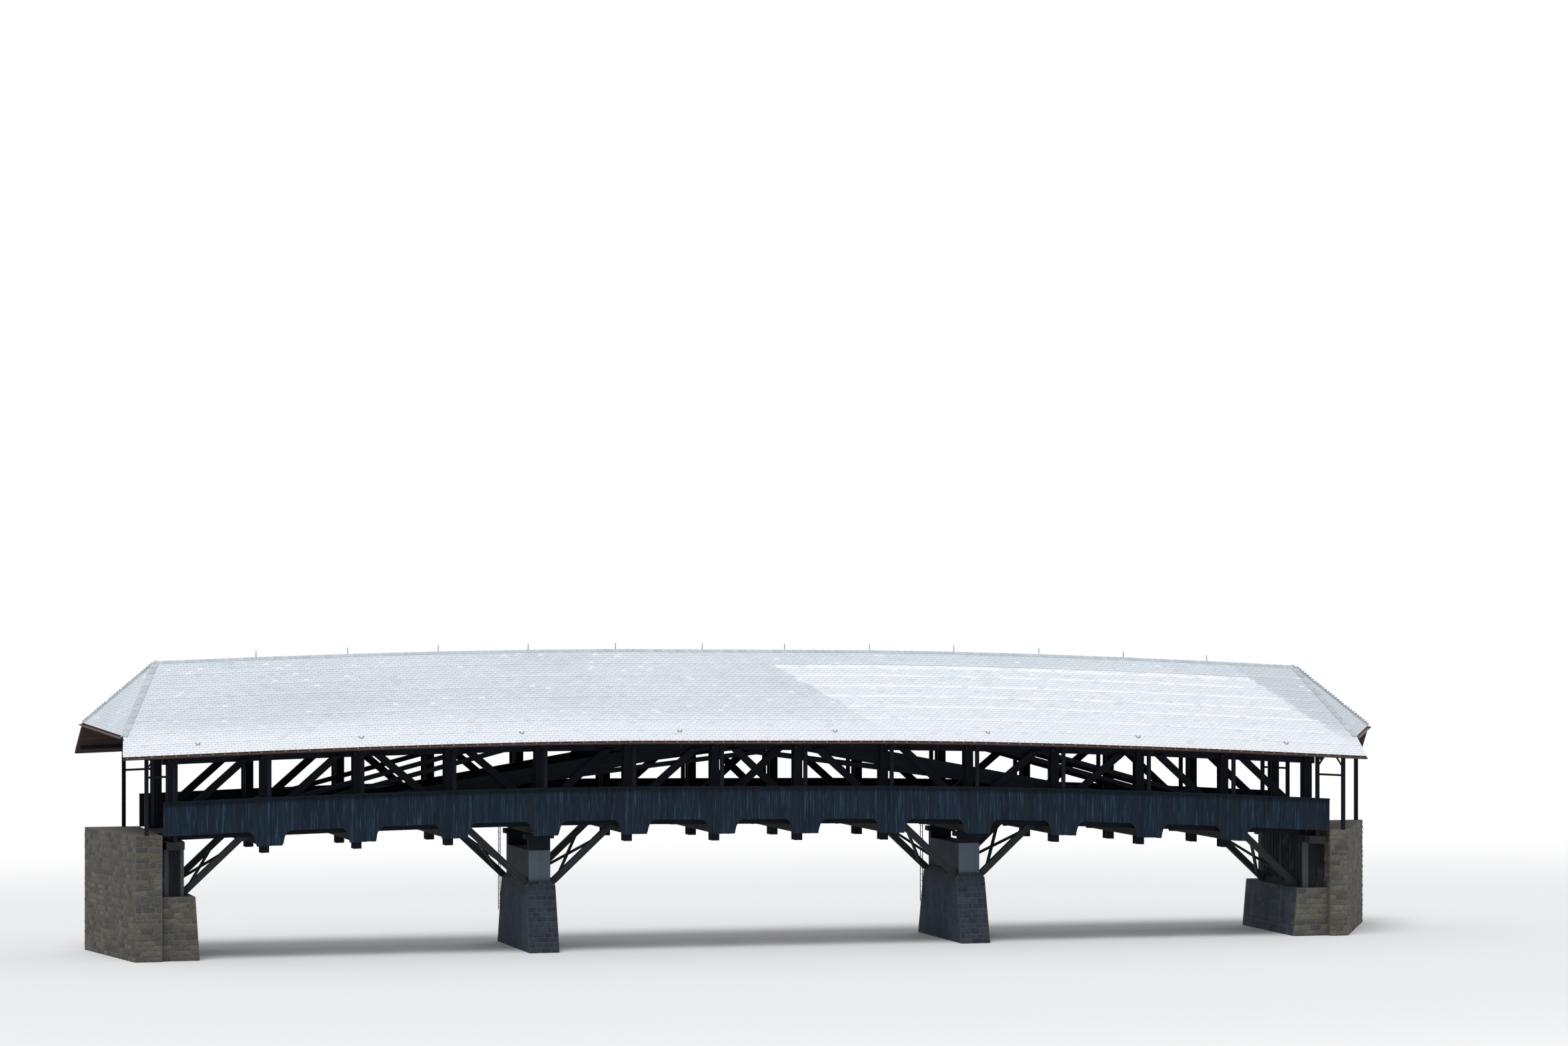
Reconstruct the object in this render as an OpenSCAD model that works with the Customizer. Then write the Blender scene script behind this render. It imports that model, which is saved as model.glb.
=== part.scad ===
// Covered timber road bridge of three spans, a scale model at 1:2.
// X runs along the bridge, Y across it with the near side at -Y, and Z up from the river bed.
// Heights named drop and rise are measured from the top of the side boarding's rail.

/* [Spans] */
// Length of each bay in the two side spans
side_bay = 2200; // [2000:10:2400]
// Length of the plain bays in the main span
main_bay = 2160; // [2000:10:2400]
// Length of the crossed bay in the middle of the main span
middle_bay = 2070; // [1900:10:2300]
// Number of bays in each side span
side_count = 4; // [3:1:5]
// Number of bays in the main span
main_count = 5; // [3:2:7]

/* [Levels] */
// Height of the rail above the river bed at mid length
rail_z = 3900; // [3700:10:4300]
// How far both ends dip below the level middle stretch
end_dip = 330; // [0:10:400]
// Half length of the level middle stretch
level_half = 3000; // [2000:100:4500]
// How much lower the right end lies than the left end
end_fall = 310; // [0:10:400]

/* [Trusses] */
// Distance from the centre line to the middle plane of each truss
truss_y = 1150; // [1100:5:1250]
// Thickness of the chords and of the arch timbers
core_t = 150; // [120:5:180]
// Drop of the bottom chord's top face
chord_drop = 700; // [650:10:750]
// Depth of the bottom chord
bottom_chord_h = 250; // [200:5:300]
// Rise of the top chord's underside
chord_rise = 825; // [780:5:900]
// Depth of the top chord
top_chord_h = 205; // [160:5:240]
// Width of a hanging post along the bridge
post_w = 200; // [160:5:240]
// Thickness of each half of a hanging post
post_t = 75; // [60:5:90]
// Drop of the free lower ends of the hanging posts
post_drop = 1345; // [1250:5:1400]
// Width of a diagonal brace
brace_w = 175; // [120:5:200]
// Height of a brace's heel above the bottom chord
brace_heel = 200; // [150:10:260]
// Distance of a brace's head from the next post
brace_set = 380; // [250:10:450]
// Lap of a brace's head over the top chord
brace_lap = 50; // [0:5:100]

/* [Arch timbers] */
// Depth of the main arch timber, which is two beams keyed together
arch_h = 355; // [250:5:400]
// Distance from the end post to where the arch timber leaves the bottom chord
arch_heel = 650; // [300:10:1000]
// Depth of the slender arch timbers
slim_arch_h = 105; // [80:5:140]
// Spacing of the two slender arch timbers, top edge to top edge
slim_arch_step = 225; // [180:5:300]
// Rise of the middle arch timber's heel at the pier
mid_arch_rise = 200; // [150:10:260]

/* [Floor] */
// Width of each cross beam in a pair
cross_w = 110; // [80:5:140]
// Depth of the cross beams
cross_h = 180; // [140:5:220]
// Depth of the floor stringers
stringer_h = 120; // [80:5:160]
// Width of the floor stringers
stringer_w = 100; // [80:5:140]
// Number of floor stringers
stringer_count = 5; // [3:1:7]
// Thickness of the deck planks
deck_t = 50; // [40:5:60]
// Gap between the deck's edge and the hanging posts
deck_gap = 15; // [5:5:50]

/* [Side boarding] */
// Distance from the centre line to the middle of the outer posts
outer_y = 1930; // [1850:5:2000]
// Width of an outer post along the bridge
outer_w = 90; // [70:5:120]
// Thickness of an outer post across the bridge
outer_t = 80; // [60:5:100]
// Thickness of the boarding
board_t = 20; // [15:1:30]
// Drop of the boarding's lower edge between the tabs
skirt_drop = 800; // [760:10:900]
// Drop of the tabs that shield the beam ends
tab_drop = 1145; // [1140:5:1200]
// Width of a tab at its foot
tab_w = 640; // [500:10:800]
// Width of the curved corner at the top of a tab
curve_w = 200; // [120:10:300]
// Length of boarding past each end post
skirt_over = 300; // [150:10:400]
// Depth of the rail on top of the boarding
rail_h = 40; // [30:5:60]
// Width of the rail on top of the boarding
rail_w = 45; // [35:5:70]

/* [Roof] */
// Rise of the ridge
ridge_rise = 3215; // [3000:5:3400]
// Rise of the roof's top face at the eaves
eave_rise = 1095; // [1060:5:1130]
// Distance from the centre line to the eaves
eave_y = 2230; // [2180:5:2300]
// Thickness of the boarded and slated roof, measured upright
roof_t = 80; // [60:5:100]
// Overhang of the near eave past the left end posts
left_over = 1265; // [1150:5:1400]
// Overhang of the near eave past the right end posts
right_over = 1180; // [1100:5:1300]
// How much further out the far end of the left hip lies
left_skew = 540; // [0:10:700]
// How much further out the far end of the right hip lies
right_skew = 1600; // [1500:10:1800]
// Distance of the hips' corners inside the ends of the eaves
verge_in = 78; // [20:1:120]
// Distance from the centre line to the hips' near corners
hip_near_y = 1740; // [1600:10:1850]
// Distance from the centre line to the hips' far corners
hip_far_y = 1510; // [1450:10:1850]
// Overhang of the ridge past the left end post
left_ridge_over = 200; // [0:10:300]
// Overhang of the ridge past the right end post
right_ridge_over = 100; // [0:10:300]
// Width of the tie beams
tie_w = 150; // [120:5:180]
// Depth of the tie beams
tie_h = 100; // [80:5:120]
// Depth of the eave plates
plate_h = 80; // [60:5:90]
// Width of the rafters
rafter_w = 60; // [50:5:80]
// Depth of the rafters, measured upright
rafter_h = 110; // [90:5:130]
// Width of the ridge beam
ridge_w = 80; // [60:5:120]
// Depth of the ridge beam
ridge_h = 160; // [120:5:200]
// Width of each leg of the ridge cap
cap_leg = 120; // [80:5:160]
// Thickness of the ridge cap
cap_t = 12; // [8:1:20]
// Outer radius of the half-round gutters
gutter_r = 42; // [35:1:55]
// Wall of the gutters
gutter_wall = 4; // [3:1:6]
// Height of the rods on the ridge
rod_h = 160; // [100:10:220]
// Radius of the rods on the ridge
rod_r = 8; // [5:1:12]
// Radius of the knob at a rod's tip
knob_r = 14; // [12:1:20]

/* [Piers] */
// Width of a pier along the bridge
pier_w = 725; // [650:5:800]
// Half length of a pier's top across the bridge
pier_top_y = 1350; // [1300:10:1450]
// Half length of a pier's foot across the bridge
pier_foot_y = 1850; // [1700:10:2000]
// Drop of the pier masonry's top at mid length
pier_drop = 2225; // [2150:5:2300]
// Width of the smooth cap along the bridge
cap_w = 525; // [450:5:540]
// Half length of the smooth cap across the bridge
cap_y = 1275; // [1250:5:1300]
// Drop of the smooth cap's top at mid length
cap_drop = 1500; // [1440:5:1550]
// Height of the timber saddles on the bearing blocks
saddle_h = 120; // [80:5:160]
// Length of the timber saddles
saddle_l = 700; // [600:10:720]

/* [Raking struts] */
// Distance from a strut's head to the next post, on a level floor
strut_set = 430; // [380:5:500]
// Thickness of a raking strut
strut_h = 150; // [120:5:180]
// Length of the sloping seat cut in the masonry's edge
seat_l = 140; // [120:5:170]
// Thickness of the foot beam on that seat
foot_t = 90; // [70:5:120]
// Width of the cross bracing between the struts
lace_w = 80; // [60:5:110]
// Thickness of the cross bracing between the struts
lace_t = 50; // [40:5:70]
// Size of the head beam under the chords
head_s = 100; // [80:5:120]

/* [Abutments] */
// Distance from the end post to the abutment's river face
face_in = 480; // [400:10:600]
// Drop of the abutment's ledge below the rail at the end post
ledge_drop = 2235; // [2150:5:2300]
// Half width of the abutment
abutment_y = 1825; // [1750:5:1880]
// How far the river face leans out at its foot
face_batter = 100; // [0:10:150]
// Distance from the end post to the boarded housing's river face
housing_in = 240; // [220:10:280]
// Half width of the boarded housing
housing_y = 1575; // [1500:5:1650]
// Thickness of the housing's boards
housing_t = 30; // [20:1:40]
// Half width of the bank block that carries the road
bank_y = 1985; // [1900:5:2050]
// Distance of the bank block's back inside the roof's ends
bank_in = 200; // [150:10:250]
// Distance from the end posts to the posts under the eave plates' ends
end_post_out = 680; // [500:10:760]
// Distance of the far right corner's post from the end post
corner_post_out = 2540; // [1500:10:2560]
// Size of the brackets at the end posts
knee_s = 170; // [120:10:220]
// Rise of the bar between the end posts
end_bar_rise = 560; // [300:10:700]
// Size of the beams under the hips' lower edges
hip_beam_s = 110; // [90:5:140]
// Distance of those beams inside the hips' lower edges
hip_beam_in = 300; // [200:10:400]

/* [Hidden] */

// How far pieces that only meet along an edge are let into each other
seat = 0.3;
// Clearance between crossing timbers that are fitted but not fastened to each other
parting = 0.5;
near = -1;
far = 1;
bays = 2 * side_count + main_count;
middle = side_count + (main_count - 1) / 2;
function bay_length(i) =
    i < side_count || i >= side_count + main_count ? side_bay : i == middle ? middle_bay : main_bay;
function run(i) = i <= 0 ? 0 : run(i - 1) + bay_length(i - 1);
// The origin lies under the middle of the whole length, overhangs and skewed end included
function hip_angle(skew) = atan2(skew, hip_near_y + hip_far_y);
function reach(over, skew) = over + skew + max(0, 2 * gutter_r * cos(hip_angle(skew)) - verge_in);
plan_shift = round((reach(left_over, left_skew) - reach(right_over, right_skew)) / 2);
post_x = [for (i = [0:bays]) run(i) - run(bays) / 2 + plan_shift];
span_half = run(bays) / 2;
left_pier_i = side_count;
right_pier_i = side_count + main_count;

// Camber of the whole bridge: level in the middle, dipping to both ends, with a fall to the right
function dip(x) =
    -end_dip * pow(max(0, abs(x) - level_half) / (span_half - level_half), 1.6)
    - end_fall * x / (2 * span_half);
post_lift = [for (x = post_x) dip(x - plan_shift)];
tail = 2 * side_bay;
function end_lift(i, j) =
    post_lift[i] + (post_lift[i] - post_lift[j]) / abs(post_x[i] - post_x[j]) * tail;
lift_table = concat(
    [[post_x[0] - tail, end_lift(0, 1)]],
    [for (i = [0:bays]) [post_x[i], post_lift[i]]],
    [[post_x[bays] + tail, end_lift(bays, bays - 1)]]
);
function at(x, h) = rail_z + lookup(x, lift_table) + h;
function crest(x, w, h) = max(at(x - w / 2, h), at(x, h), at(x + w / 2, h));
function trough(x, w, h) = min(at(x - w / 2, h), at(x, h), at(x + w / 2, h));
// Positions from a to b with every post line between them, where the camber changes slope
function kinks(a, b) = concat([a], [for (x = post_x) if (x > a + 0.01 && x < b - 0.01) x], [b]);

chord_low = -chord_drop - bottom_chord_h;
tie_low = chord_rise + top_chord_h;
plate_low = tie_low + tie_h;
plate_top = plate_low + plate_h;
cross_low = chord_low - cross_h;
stringer_top = chord_low + stringer_h;
deck_top = stringer_top + deck_t;
inner_post_y = truss_y - core_t / 2 - post_t;
skirt_y = outer_y + outer_t / 2 + board_t / 2;
roof_fall = (ridge_rise - eave_rise) / eave_y;
function roof_under(y) = ridge_rise - roof_t - roof_fall * abs(y);

// Plates cut from an outline in X and Z, thick across the bridge
module plate(y, t) translate([0, y + t / 2, 0]) rotate([90, 0, 0]) linear_extrude(t) children();
module band(a, b, low, high) {
    xs = kinks(a, b);
    n = len(xs);
    polygon(concat([for (x = xs) [x, at(x, low)]],
                   [for (i = [1:n]) [xs[n - i], at(xs[n - i], high)]]));
}
// A timber that lies across the bridge at x and follows the camber
module cross_timber(x, w, low, high, y0, y1)
    plate((y0 + y1) / 2, y1 - y0) band(x - w / 2, x + w / 2, low, high);
// A straight bar whose top edge runs through p and q, extended by e and cut plumb
module bar(p, q, depth, e) {
    slope = (q[1] - p[1]) / (q[0] - p[0]);
    s = sign(q[0] - p[0]);
    v = depth * sqrt(1 + slope * slope);
    a = [p[0] - s * e, p[1] - s * e * slope];
    b = [q[0] + s * e, q[1] + s * e * slope];
    polygon([a, b, b - [0, v], a - [0, v]]);
}
module web_zone() band(post_x[0] - tail, post_x[bays] + tail, -chord_drop, chord_rise);

// Masonry and concrete

pier_top = rail_z - pier_drop;
cap_top = rail_z - cap_drop;
// The struts lie as steep as the shorter bays need to keep their heads clear of the next cross beams
strut_angle = atan2(pier_drop + chord_low, min(main_bay, side_bay) - pier_w / 2 - strut_set);
seat_run = seat_l * sin(strut_angle);
seat_fall = seat_l * cos(strut_angle);

module pier(x) {
    // Plumb faces up and down the river, battered ends, and a seat for the struts along both edges
    color("dimgray") translate([x, 0, 0]) intersection() {
        rotate([90, 0, 0]) translate([0, 0, -pier_foot_y]) linear_extrude(2 * pier_foot_y)
            polygon([[-pier_w / 2, 0], [pier_w / 2, 0], [pier_w / 2, pier_top - seat_fall],
                     [pier_w / 2 - seat_run, pier_top], [seat_run - pier_w / 2, pier_top],
                     [-pier_w / 2, pier_top - seat_fall]]);
        rotate([90, 0, 90]) translate([0, 0, -pier_w]) linear_extrude(2 * pier_w)
            polygon([[-pier_foot_y, 0], [pier_foot_y, 0], [pier_top_y, pier_top], [-pier_top_y, pier_top]]);
    }
}
module piers() for (i = [left_pier_i, right_pier_i]) pier(post_x[i]);

module pier_cap(x) color("gray") translate([x - cap_w / 2, -cap_y, pier_top])
    cube([cap_w, 2 * cap_y, cap_top - pier_top]);
module pier_caps() for (i = [left_pier_i, right_pier_i]) pier_cap(post_x[i]);

clasp_t = core_t + 2 * post_t;
module under_floor(x, w, drop) difference() {
    children();
    plate(0, 4 * cap_y) band(x - w, x + w, drop, tail);
}
module bearing_blocks() color("saddlebrown") for (s = [near, far]) {
    // On each pier a block flush with the cap's end, and a saddle that spreads the load to the floor
    for (i = [left_pier_i, right_pier_i]) {
        x = post_x[i];
        under_floor(x, cap_w, cross_low - saddle_h)
            translate([x - cap_w / 2, s > 0 ? truss_y - core_t / 2 : -cap_y, cap_top])
                cube([cap_w, cap_y - truss_y + core_t / 2, rail_z - cap_top]);
        plate(s * truss_y, clasp_t) band(x - saddle_l / 2, x + saddle_l / 2, cross_low - saddle_h, cross_low);
    }
    for (i = [0, bays])
        under_floor(post_x[i], 2 * post_w, cross_low)
            translate([post_x[i] - post_w, s * truss_y - clasp_t / 2, ledge_z(i)])
                cube([2 * post_w, clasp_t, rail_z - ledge_z(i)]);
}

// Abutments, one form for both ends; d is -1 at the left end and 1 at the right end

function ledge_z(i) = at(post_x[i], -ledge_drop);
road_end = skirt_over + 20;
function back_x(d, y) = hip_x(d, y) - d * bank_in;
module abutment(i, d) {
    // A battered river face up to the ledge, and behind it the bank block that carries the road
    x = post_x[i];
    color("slategray") {
        plate(0, 2 * abutment_y) polygon([[x - d * (face_in + face_batter), 0], [x + d * road_end, 0],
                                          [x + d * road_end, ledge_z(i)], [x - d * face_in, ledge_z(i)]]);
        linear_extrude(at(x + d * road_end, deck_top)) polygon([
            [x + d * road_end, -bank_y], [back_x(d, -bank_y), -bank_y],
            [back_x(d, bank_y), bank_y], [x + d * road_end, bank_y]]);
    }
}
module abutments() {
    abutment(0, -1);
    abutment(bays, 1);
}

module above_ledge(i) difference() {
    children();
    translate([post_x[i] - tail, -2 * housing_y, ledge_z(i) - 2 * tail])
            cube([2 * tail, 4 * housing_y, 2 * tail]);
}
module housing(i, d) {
    // Upright boards round the bearings: a wall to the river and two side walls
    x = post_x[i];
    river = x - d * housing_in;
    inside = river + d * housing_t;
    back = x + d * road_end;
    color("#3b3a3a") above_ledge(i) {
        plate(0, 2 * housing_y) band(min(river, inside), max(river, inside), -tail, chord_low);
        for (s = [near, far])
            plate(s * (housing_y - housing_t / 2), housing_t)
                band(min(inside, back), max(inside, back), -tail, cross_low);
    }
}
module housings() {
    housing(0, -1);
    housing(bays, 1);
}

// Trusses

chord_end = post_w;
module bottom_chord(s) color("#4a4039") plate(s * truss_y, core_t)
    band(post_x[0] - chord_end, post_x[bays] + chord_end, chord_low, -chord_drop);
module near_bottom_chord() bottom_chord(near);
module far_bottom_chord() bottom_chord(far);

module top_chord(s) color("#4a4039") plate(s * truss_y, core_t)
    band(post_x[0] - chord_end, post_x[bays] + chord_end, chord_rise, tie_low);
module near_top_chord() top_chord(near);
module far_top_chord() top_chord(far);

module posts(s) {
    // Each hanging post is two halves that clasp the chords; over the piers they stop on the saddles
    color("#514840") for (i = [0:bays], k = [-1, 1]) {
        seated = i == 0 || i == bays || i == left_pier_i || i == right_pier_i;
        y = s * truss_y + k * (core_t + post_t) / 2;
        plate(y, post_t) band(post_x[i] - post_w / 2, post_x[i] + post_w / 2,
                              seated ? cross_low : -post_drop, tie_low);
    }
}
module near_posts() posts(near);
module far_posts() posts(far);

// A brace with its heel on the post at x0 and its head near the post at x1
module brace_outline(x0, x1) {
    d = sign(x1 - x0);
    foot = [x0 + d * post_w / 2, at(x0, -chord_drop) + brace_heel];
    head_x = x1 - d * (post_w / 2 + brace_set);
    head = [head_x, at(head_x, chord_rise) + brace_lap];
    angle = atan2(head[1] - foot[1], abs(head[0] - foot[0]));
    v = brace_w / 2 / cos(angle);
    u = brace_w / 2 / sin(angle);
    polygon([foot - [0, v], head + [d * u, 0], head - [d * u, 0], foot + [0, v]]);
}
// Braces rise to the middle of each span; the middle bay has both
function lean(j, n) = j < (n - 1) / 2 ? 1 : j > (n - 1) / 2 ? -1 : 0;
function bay_lean(i) =
    i < side_count ? lean(i, side_count)
    : i < side_count + main_count ? lean(i - side_count, main_count)
    : lean(i - side_count - main_count, side_count);
module braces(s) color("#4d443d") plate(s * (truss_y + (core_t + post_t) / 2), post_t)
    for (i = [0:bays - 1]) {
        if (bay_lean(i) >= 0) brace_outline(post_x[i], post_x[i + 1]);
        if (bay_lean(i) < 0) brace_outline(post_x[i + 1], post_x[i]);
        if (bay_lean(i) == 0) difference() {
            brace_outline(post_x[i + 1], post_x[i]);
            offset(delta = parting) brace_outline(post_x[i], post_x[i + 1]);
        }
    }
module near_braces() braces(near);
module far_braces() braces(far);

// The main arch timber climbs from the bottom chord at each end to the top chord past the pier
module arch_bar(d, extra) {
    i0 = d > 0 ? 0 : bays;
    i1 = i0 + d * (side_count + 1);
    p = [post_x[i0] + d * arch_heel, at(post_x[i0] + d * arch_heel, -chord_drop)];
    q = [post_x[i1], at(post_x[i1], chord_rise)];
    bar(p + [0, extra], q + [0, extra], arch_h + 2 * extra, 4 * main_bay);
}
module half_plane(d) translate([d > 0 ? plan_shift - 2 * span_half : plan_shift, 0])
    square([2 * span_half, 2 * rail_z]);
module arch(s) color("#51473f") plate(s * truss_y, core_t) for (d = [-1, 1])
    intersection() {
        arch_bar(d, 0);
        web_zone();
        half_plane(d);
    }
module near_arch() arch(near);
module far_arch() arch(far);

// Slender timbers: two above the main arch over the side span, one below it over the main span
module slim_arch(s) color("#463d37") plate(s * truss_y, core_t) {
    for (d = [-1, 1], k = [0, 1]) {
        i0 = d > 0 ? 0 : bays;
        i1 = i0 + d * (side_count - 1);
        p = [post_x[i0], at(post_x[i0], -chord_drop)];
        q = [post_x[i1], at(post_x[i1], chord_rise)];
        down = [0, k * slim_arch_step + seat];
        difference() {
            intersection() {
                bar(p - down, q - down, slim_arch_h, 2 * main_bay);
                web_zone();
                half_plane(d);
            }
            arch_bar(d, parting);
        }
    }
    difference() {
        for (d = [-1, 1]) {
            i0 = d > 0 ? left_pier_i : right_pier_i;
            crown = plan_shift - d * parting / 2;
            bar([post_x[i0], at(post_x[i0], mid_arch_rise)], [crown, at(crown, chord_rise)], slim_arch_h, 0);
        }
        for (d = [-1, 1]) arch_bar(d, parting);
    }
}
module near_slim_arch() slim_arch(near);
module far_slim_arch() slim_arch(far);

// Floor

beam_end = outer_y + outer_t / 2;
module cross_beams() color("#54493f") for (x = post_x) {
    // A pair of beams clasps the hanging posts, closed by a block under each outer post
    for (k = [-1, 1])
        cross_timber(x + k * (post_w + cross_w) / 2, cross_w, cross_low, chord_low, -beam_end, beam_end);
    for (s = [near, far])
        cross_timber(x, post_w, cross_low, chord_low, min(s * beam_end, s * (beam_end - outer_t)),
                     max(s * beam_end, s * (beam_end - outer_t)));
}
floor_a = post_x[0] - skirt_over;
floor_b = post_x[bays] + skirt_over;
deck_y = inner_post_y - deck_gap;
module stringers() color("#5b4e42") for (k = [0:stringer_count - 1])
    plate((deck_y - stringer_w / 2) * (2 * k / (stringer_count - 1) - 1), stringer_w)
        band(floor_a, floor_b, chord_low, stringer_top);
module deck() color("#6a5d50") plate(0, 2 * deck_y) band(floor_a, floor_b, stringer_top, deck_top);

// Side boarding

steps = 6;
// One tab's foot seen from its centre line, as offsets and drops; the corner is a quarter ellipse
function tab_corner(x, d) = [for (k = [0:steps])
    let (a = 90 * k / steps)
    [x + d * (tab_w / 2 + curve_w * (1 - cos(a))), -tab_drop + (tab_drop - skirt_drop) * sin(a)]];
function reversed(v) = [for (k = [1:len(v)]) v[len(v) - k]];
function skirt_foot() = [for (i = [1:bays - 1])
    each concat(reversed(tab_corner(post_x[i], -1)), tab_corner(post_x[i], 1))];
function follow(pts) = [for (p = pts) [p[0], at(p[0], p[1])]];
skirt_a = post_x[0] - skirt_over;
skirt_b = post_x[bays] + skirt_over;
module skirt(s) color("#4b535b") plate(s * skirt_y, board_t) intersection() {
    polygon(concat(follow(skirt_foot()),
                   follow([[post_x[bays], -skirt_drop], [skirt_b + tail / 4, -skirt_drop],
                           [skirt_b + tail / 4, -rail_h]]),
                   reversed(follow([for (x = post_x) [x, -rail_h]])),
                   follow([[skirt_a - tail / 4, -rail_h], [skirt_a - tail / 4, -skirt_drop],
                           [post_x[0], -skirt_drop]])));
    translate([skirt_a, 0]) square([skirt_b - skirt_a, 2 * rail_z]);
}
module near_skirt() skirt(near);
module far_skirt() skirt(far);
module skirt_rails() color("#5a5048") for (s = [near, far])
    plate(s * (outer_y + outer_t / 2 + rail_w / 2), rail_w) band(skirt_a, skirt_b, -rail_h, 0);
module outer_posts() color("#544a42") for (x = post_x, s = [near, far])
    plate(s * outer_y, outer_t) band(x - outer_w / 2, x + outer_w / 2, chord_low, tie_low);

// Roof

tie_end = outer_y + outer_t / 2 + 20;
module tie_beams() color("#4a4039") for (x = post_x)
    cross_timber(x, tie_w, tie_low, plate_low, -tie_end, tie_end);

// The roof's ends; d is -1 at the left end and 1 at the right end, s the side
function end_post_x(d) = post_x[d < 0 ? 0 : bays];
function end_skew(d) = d < 0 ? left_skew : right_skew;
function ridge_end(d) = end_post_x(d) + d * (d < 0 ? left_ridge_over : right_ridge_over);
function verge_x(d, s) =
    end_post_x(d) + d * ((d < 0 ? left_over : right_over) + (s > 0 ? end_skew(d) : 0));
function hip_corner(d, s) = [verge_x(d, s) - d * verge_in, s > 0 ? hip_far_y : -hip_near_y];
// Where a hip's lower edge lies at a given distance across
function hip_x(d, y) =
    hip_corner(d, near)[0] + d * end_skew(d) * (y + hip_near_y) / (hip_near_y + hip_far_y);
module eave_plates() color("#4a4039") for (s = [near, far])
    plate(s * outer_y, outer_t) band(verge_x(-1, s) + outer_t, verge_x(1, s) - outer_t, plate_low, plate_top);

rafter_xs = concat([for (x = post_x) x], [for (i = [0:bays - 1]) (post_x[i] + post_x[i + 1]) / 2]);
module rafter(x) {
    top = trough(x, rafter_w, seat);
    plate = crest(x, rafter_w, plate_top) - seat;
    a = ridge_w / 2;
    b = eave_y - 2 * cap_t;
    translate([x - rafter_w / 2, 0, 0]) rotate([90, 0, 90]) linear_extrude(rafter_w) for (s = [near, far])
        difference() {
            polygon([[s * a, top + roof_under(a)], [s * b, top + roof_under(b)],
                     [s * b, top + roof_under(b) - rafter_h], [s * a, top + roof_under(a) - rafter_h]]);
            translate([s * outer_y - outer_t / 2, plate - tie_h - plate_h])
                square([outer_t, tie_h + plate_h]);
        }
}
module rafters() color("#51473f") for (x = rafter_xs) rafter(x);
module ridge_beam() color("#4a4039") plate(0, ridge_w)
    band(post_x[0], post_x[bays], roof_under(ridge_w / 2) - ridge_h, roof_under(ridge_w / 2) + seat);

// A slab of even upright thickness under a surface given by points, faces and its rim
module slab(points, faces, rim, t) {
    n = len(points);
    m = len(rim);
    polyhedron(
        points = concat(points, [for (p = points) p - [0, 0, t]]),
        faces = concat(faces, [for (f = faces) [for (k = [1:len(f)]) f[len(f) - k] + n]],
                       [for (k = [0:m - 1]) [rim[k], rim[(k + 1) % m], rim[(k + 1) % m] + n, rim[k] + n]]));
}
function on_roof(x, y) = [x, y, at(x, ridge_rise - roof_fall * abs(y))];
function on_corner(d, s) = let (c = hip_corner(d, s)) on_roof(c[0], c[1]);
ridge_xs = concat([ridge_end(-1)], [for (i = [1:bays - 1]) post_x[i]], [ridge_end(1)]);
function flip_if(s, f) = s < 0 ? f : reversed(f);
module roof_slope(s) {
    n = bays + 1;
    ridge = [for (x = ridge_xs) on_roof(x, 0)];
    eave = [for (x = post_x) on_roof(x, s * eave_y)];
    ends = [on_corner(-1, s), on_roof(verge_x(-1, s), s * eave_y),
            on_corner(1, s), on_roof(verge_x(1, s), s * eave_y)];
    faces = concat([for (i = [0:n - 2]) [i, i + 1, n + i + 1, n + i]],
                   [[2 * n, 0, n, 2 * n + 1], [n - 1, 2 * n + 2, 2 * n + 3, 2 * n - 1]]);
    rim = concat([for (i = [0:n - 1]) i], [2 * n + 2, 2 * n + 3], [for (i = [1:n]) 2 * n - i],
                 [2 * n + 1, 2 * n]);
    color("lightgray") slab(concat(ridge, eave, ends), [for (f = faces) flip_if(s, f)],
                            flip_if(s, reversed(rim)), roof_t);
}
module near_roof() roof_slope(near);
module far_roof() roof_slope(far);

module hip(d) {
    points = [on_roof(ridge_end(d), 0), on_corner(d, near), on_corner(d, far)];
    f = d < 0 ? [0, 1, 2] : [0, 2, 1];
    color("lightgray") slab(points, [f], reversed(f), roof_t);
}
module hips() {
    hip(-1);
    hip(1);
}

// A closed loft through rings of points
module loft(rings) {
    n = len(rings);
    m = len(rings[0]);
    polyhedron(
        points = [for (r = rings) each r],
        faces = concat([[for (k = [0:m - 1]) k]],
                       [for (i = [0:n - 2], k = [0:m - 1])
                           [i * m + k, (i + 1) * m + k, (i + 1) * m + (k + 1) % m, i * m + (k + 1) % m]],
                       [[for (k = [1:m]) n * m - k]]));
}
function cap_ring(x) = let (z = at(x, ridge_rise), f = roof_fall * cap_leg)
    [[x, 0, z], [x, cap_leg, z - f], [x, cap_leg, z - f + cap_t], [x, 0, z + cap_t],
     [x, -cap_leg, z - f + cap_t], [x, -cap_leg, z - f]];
module ridge_cap() color("darkgray") loft([for (x = ridge_xs) cap_ring(x)]);

gutter_sides = 8;
gutter_bead = 1.5;
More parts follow.
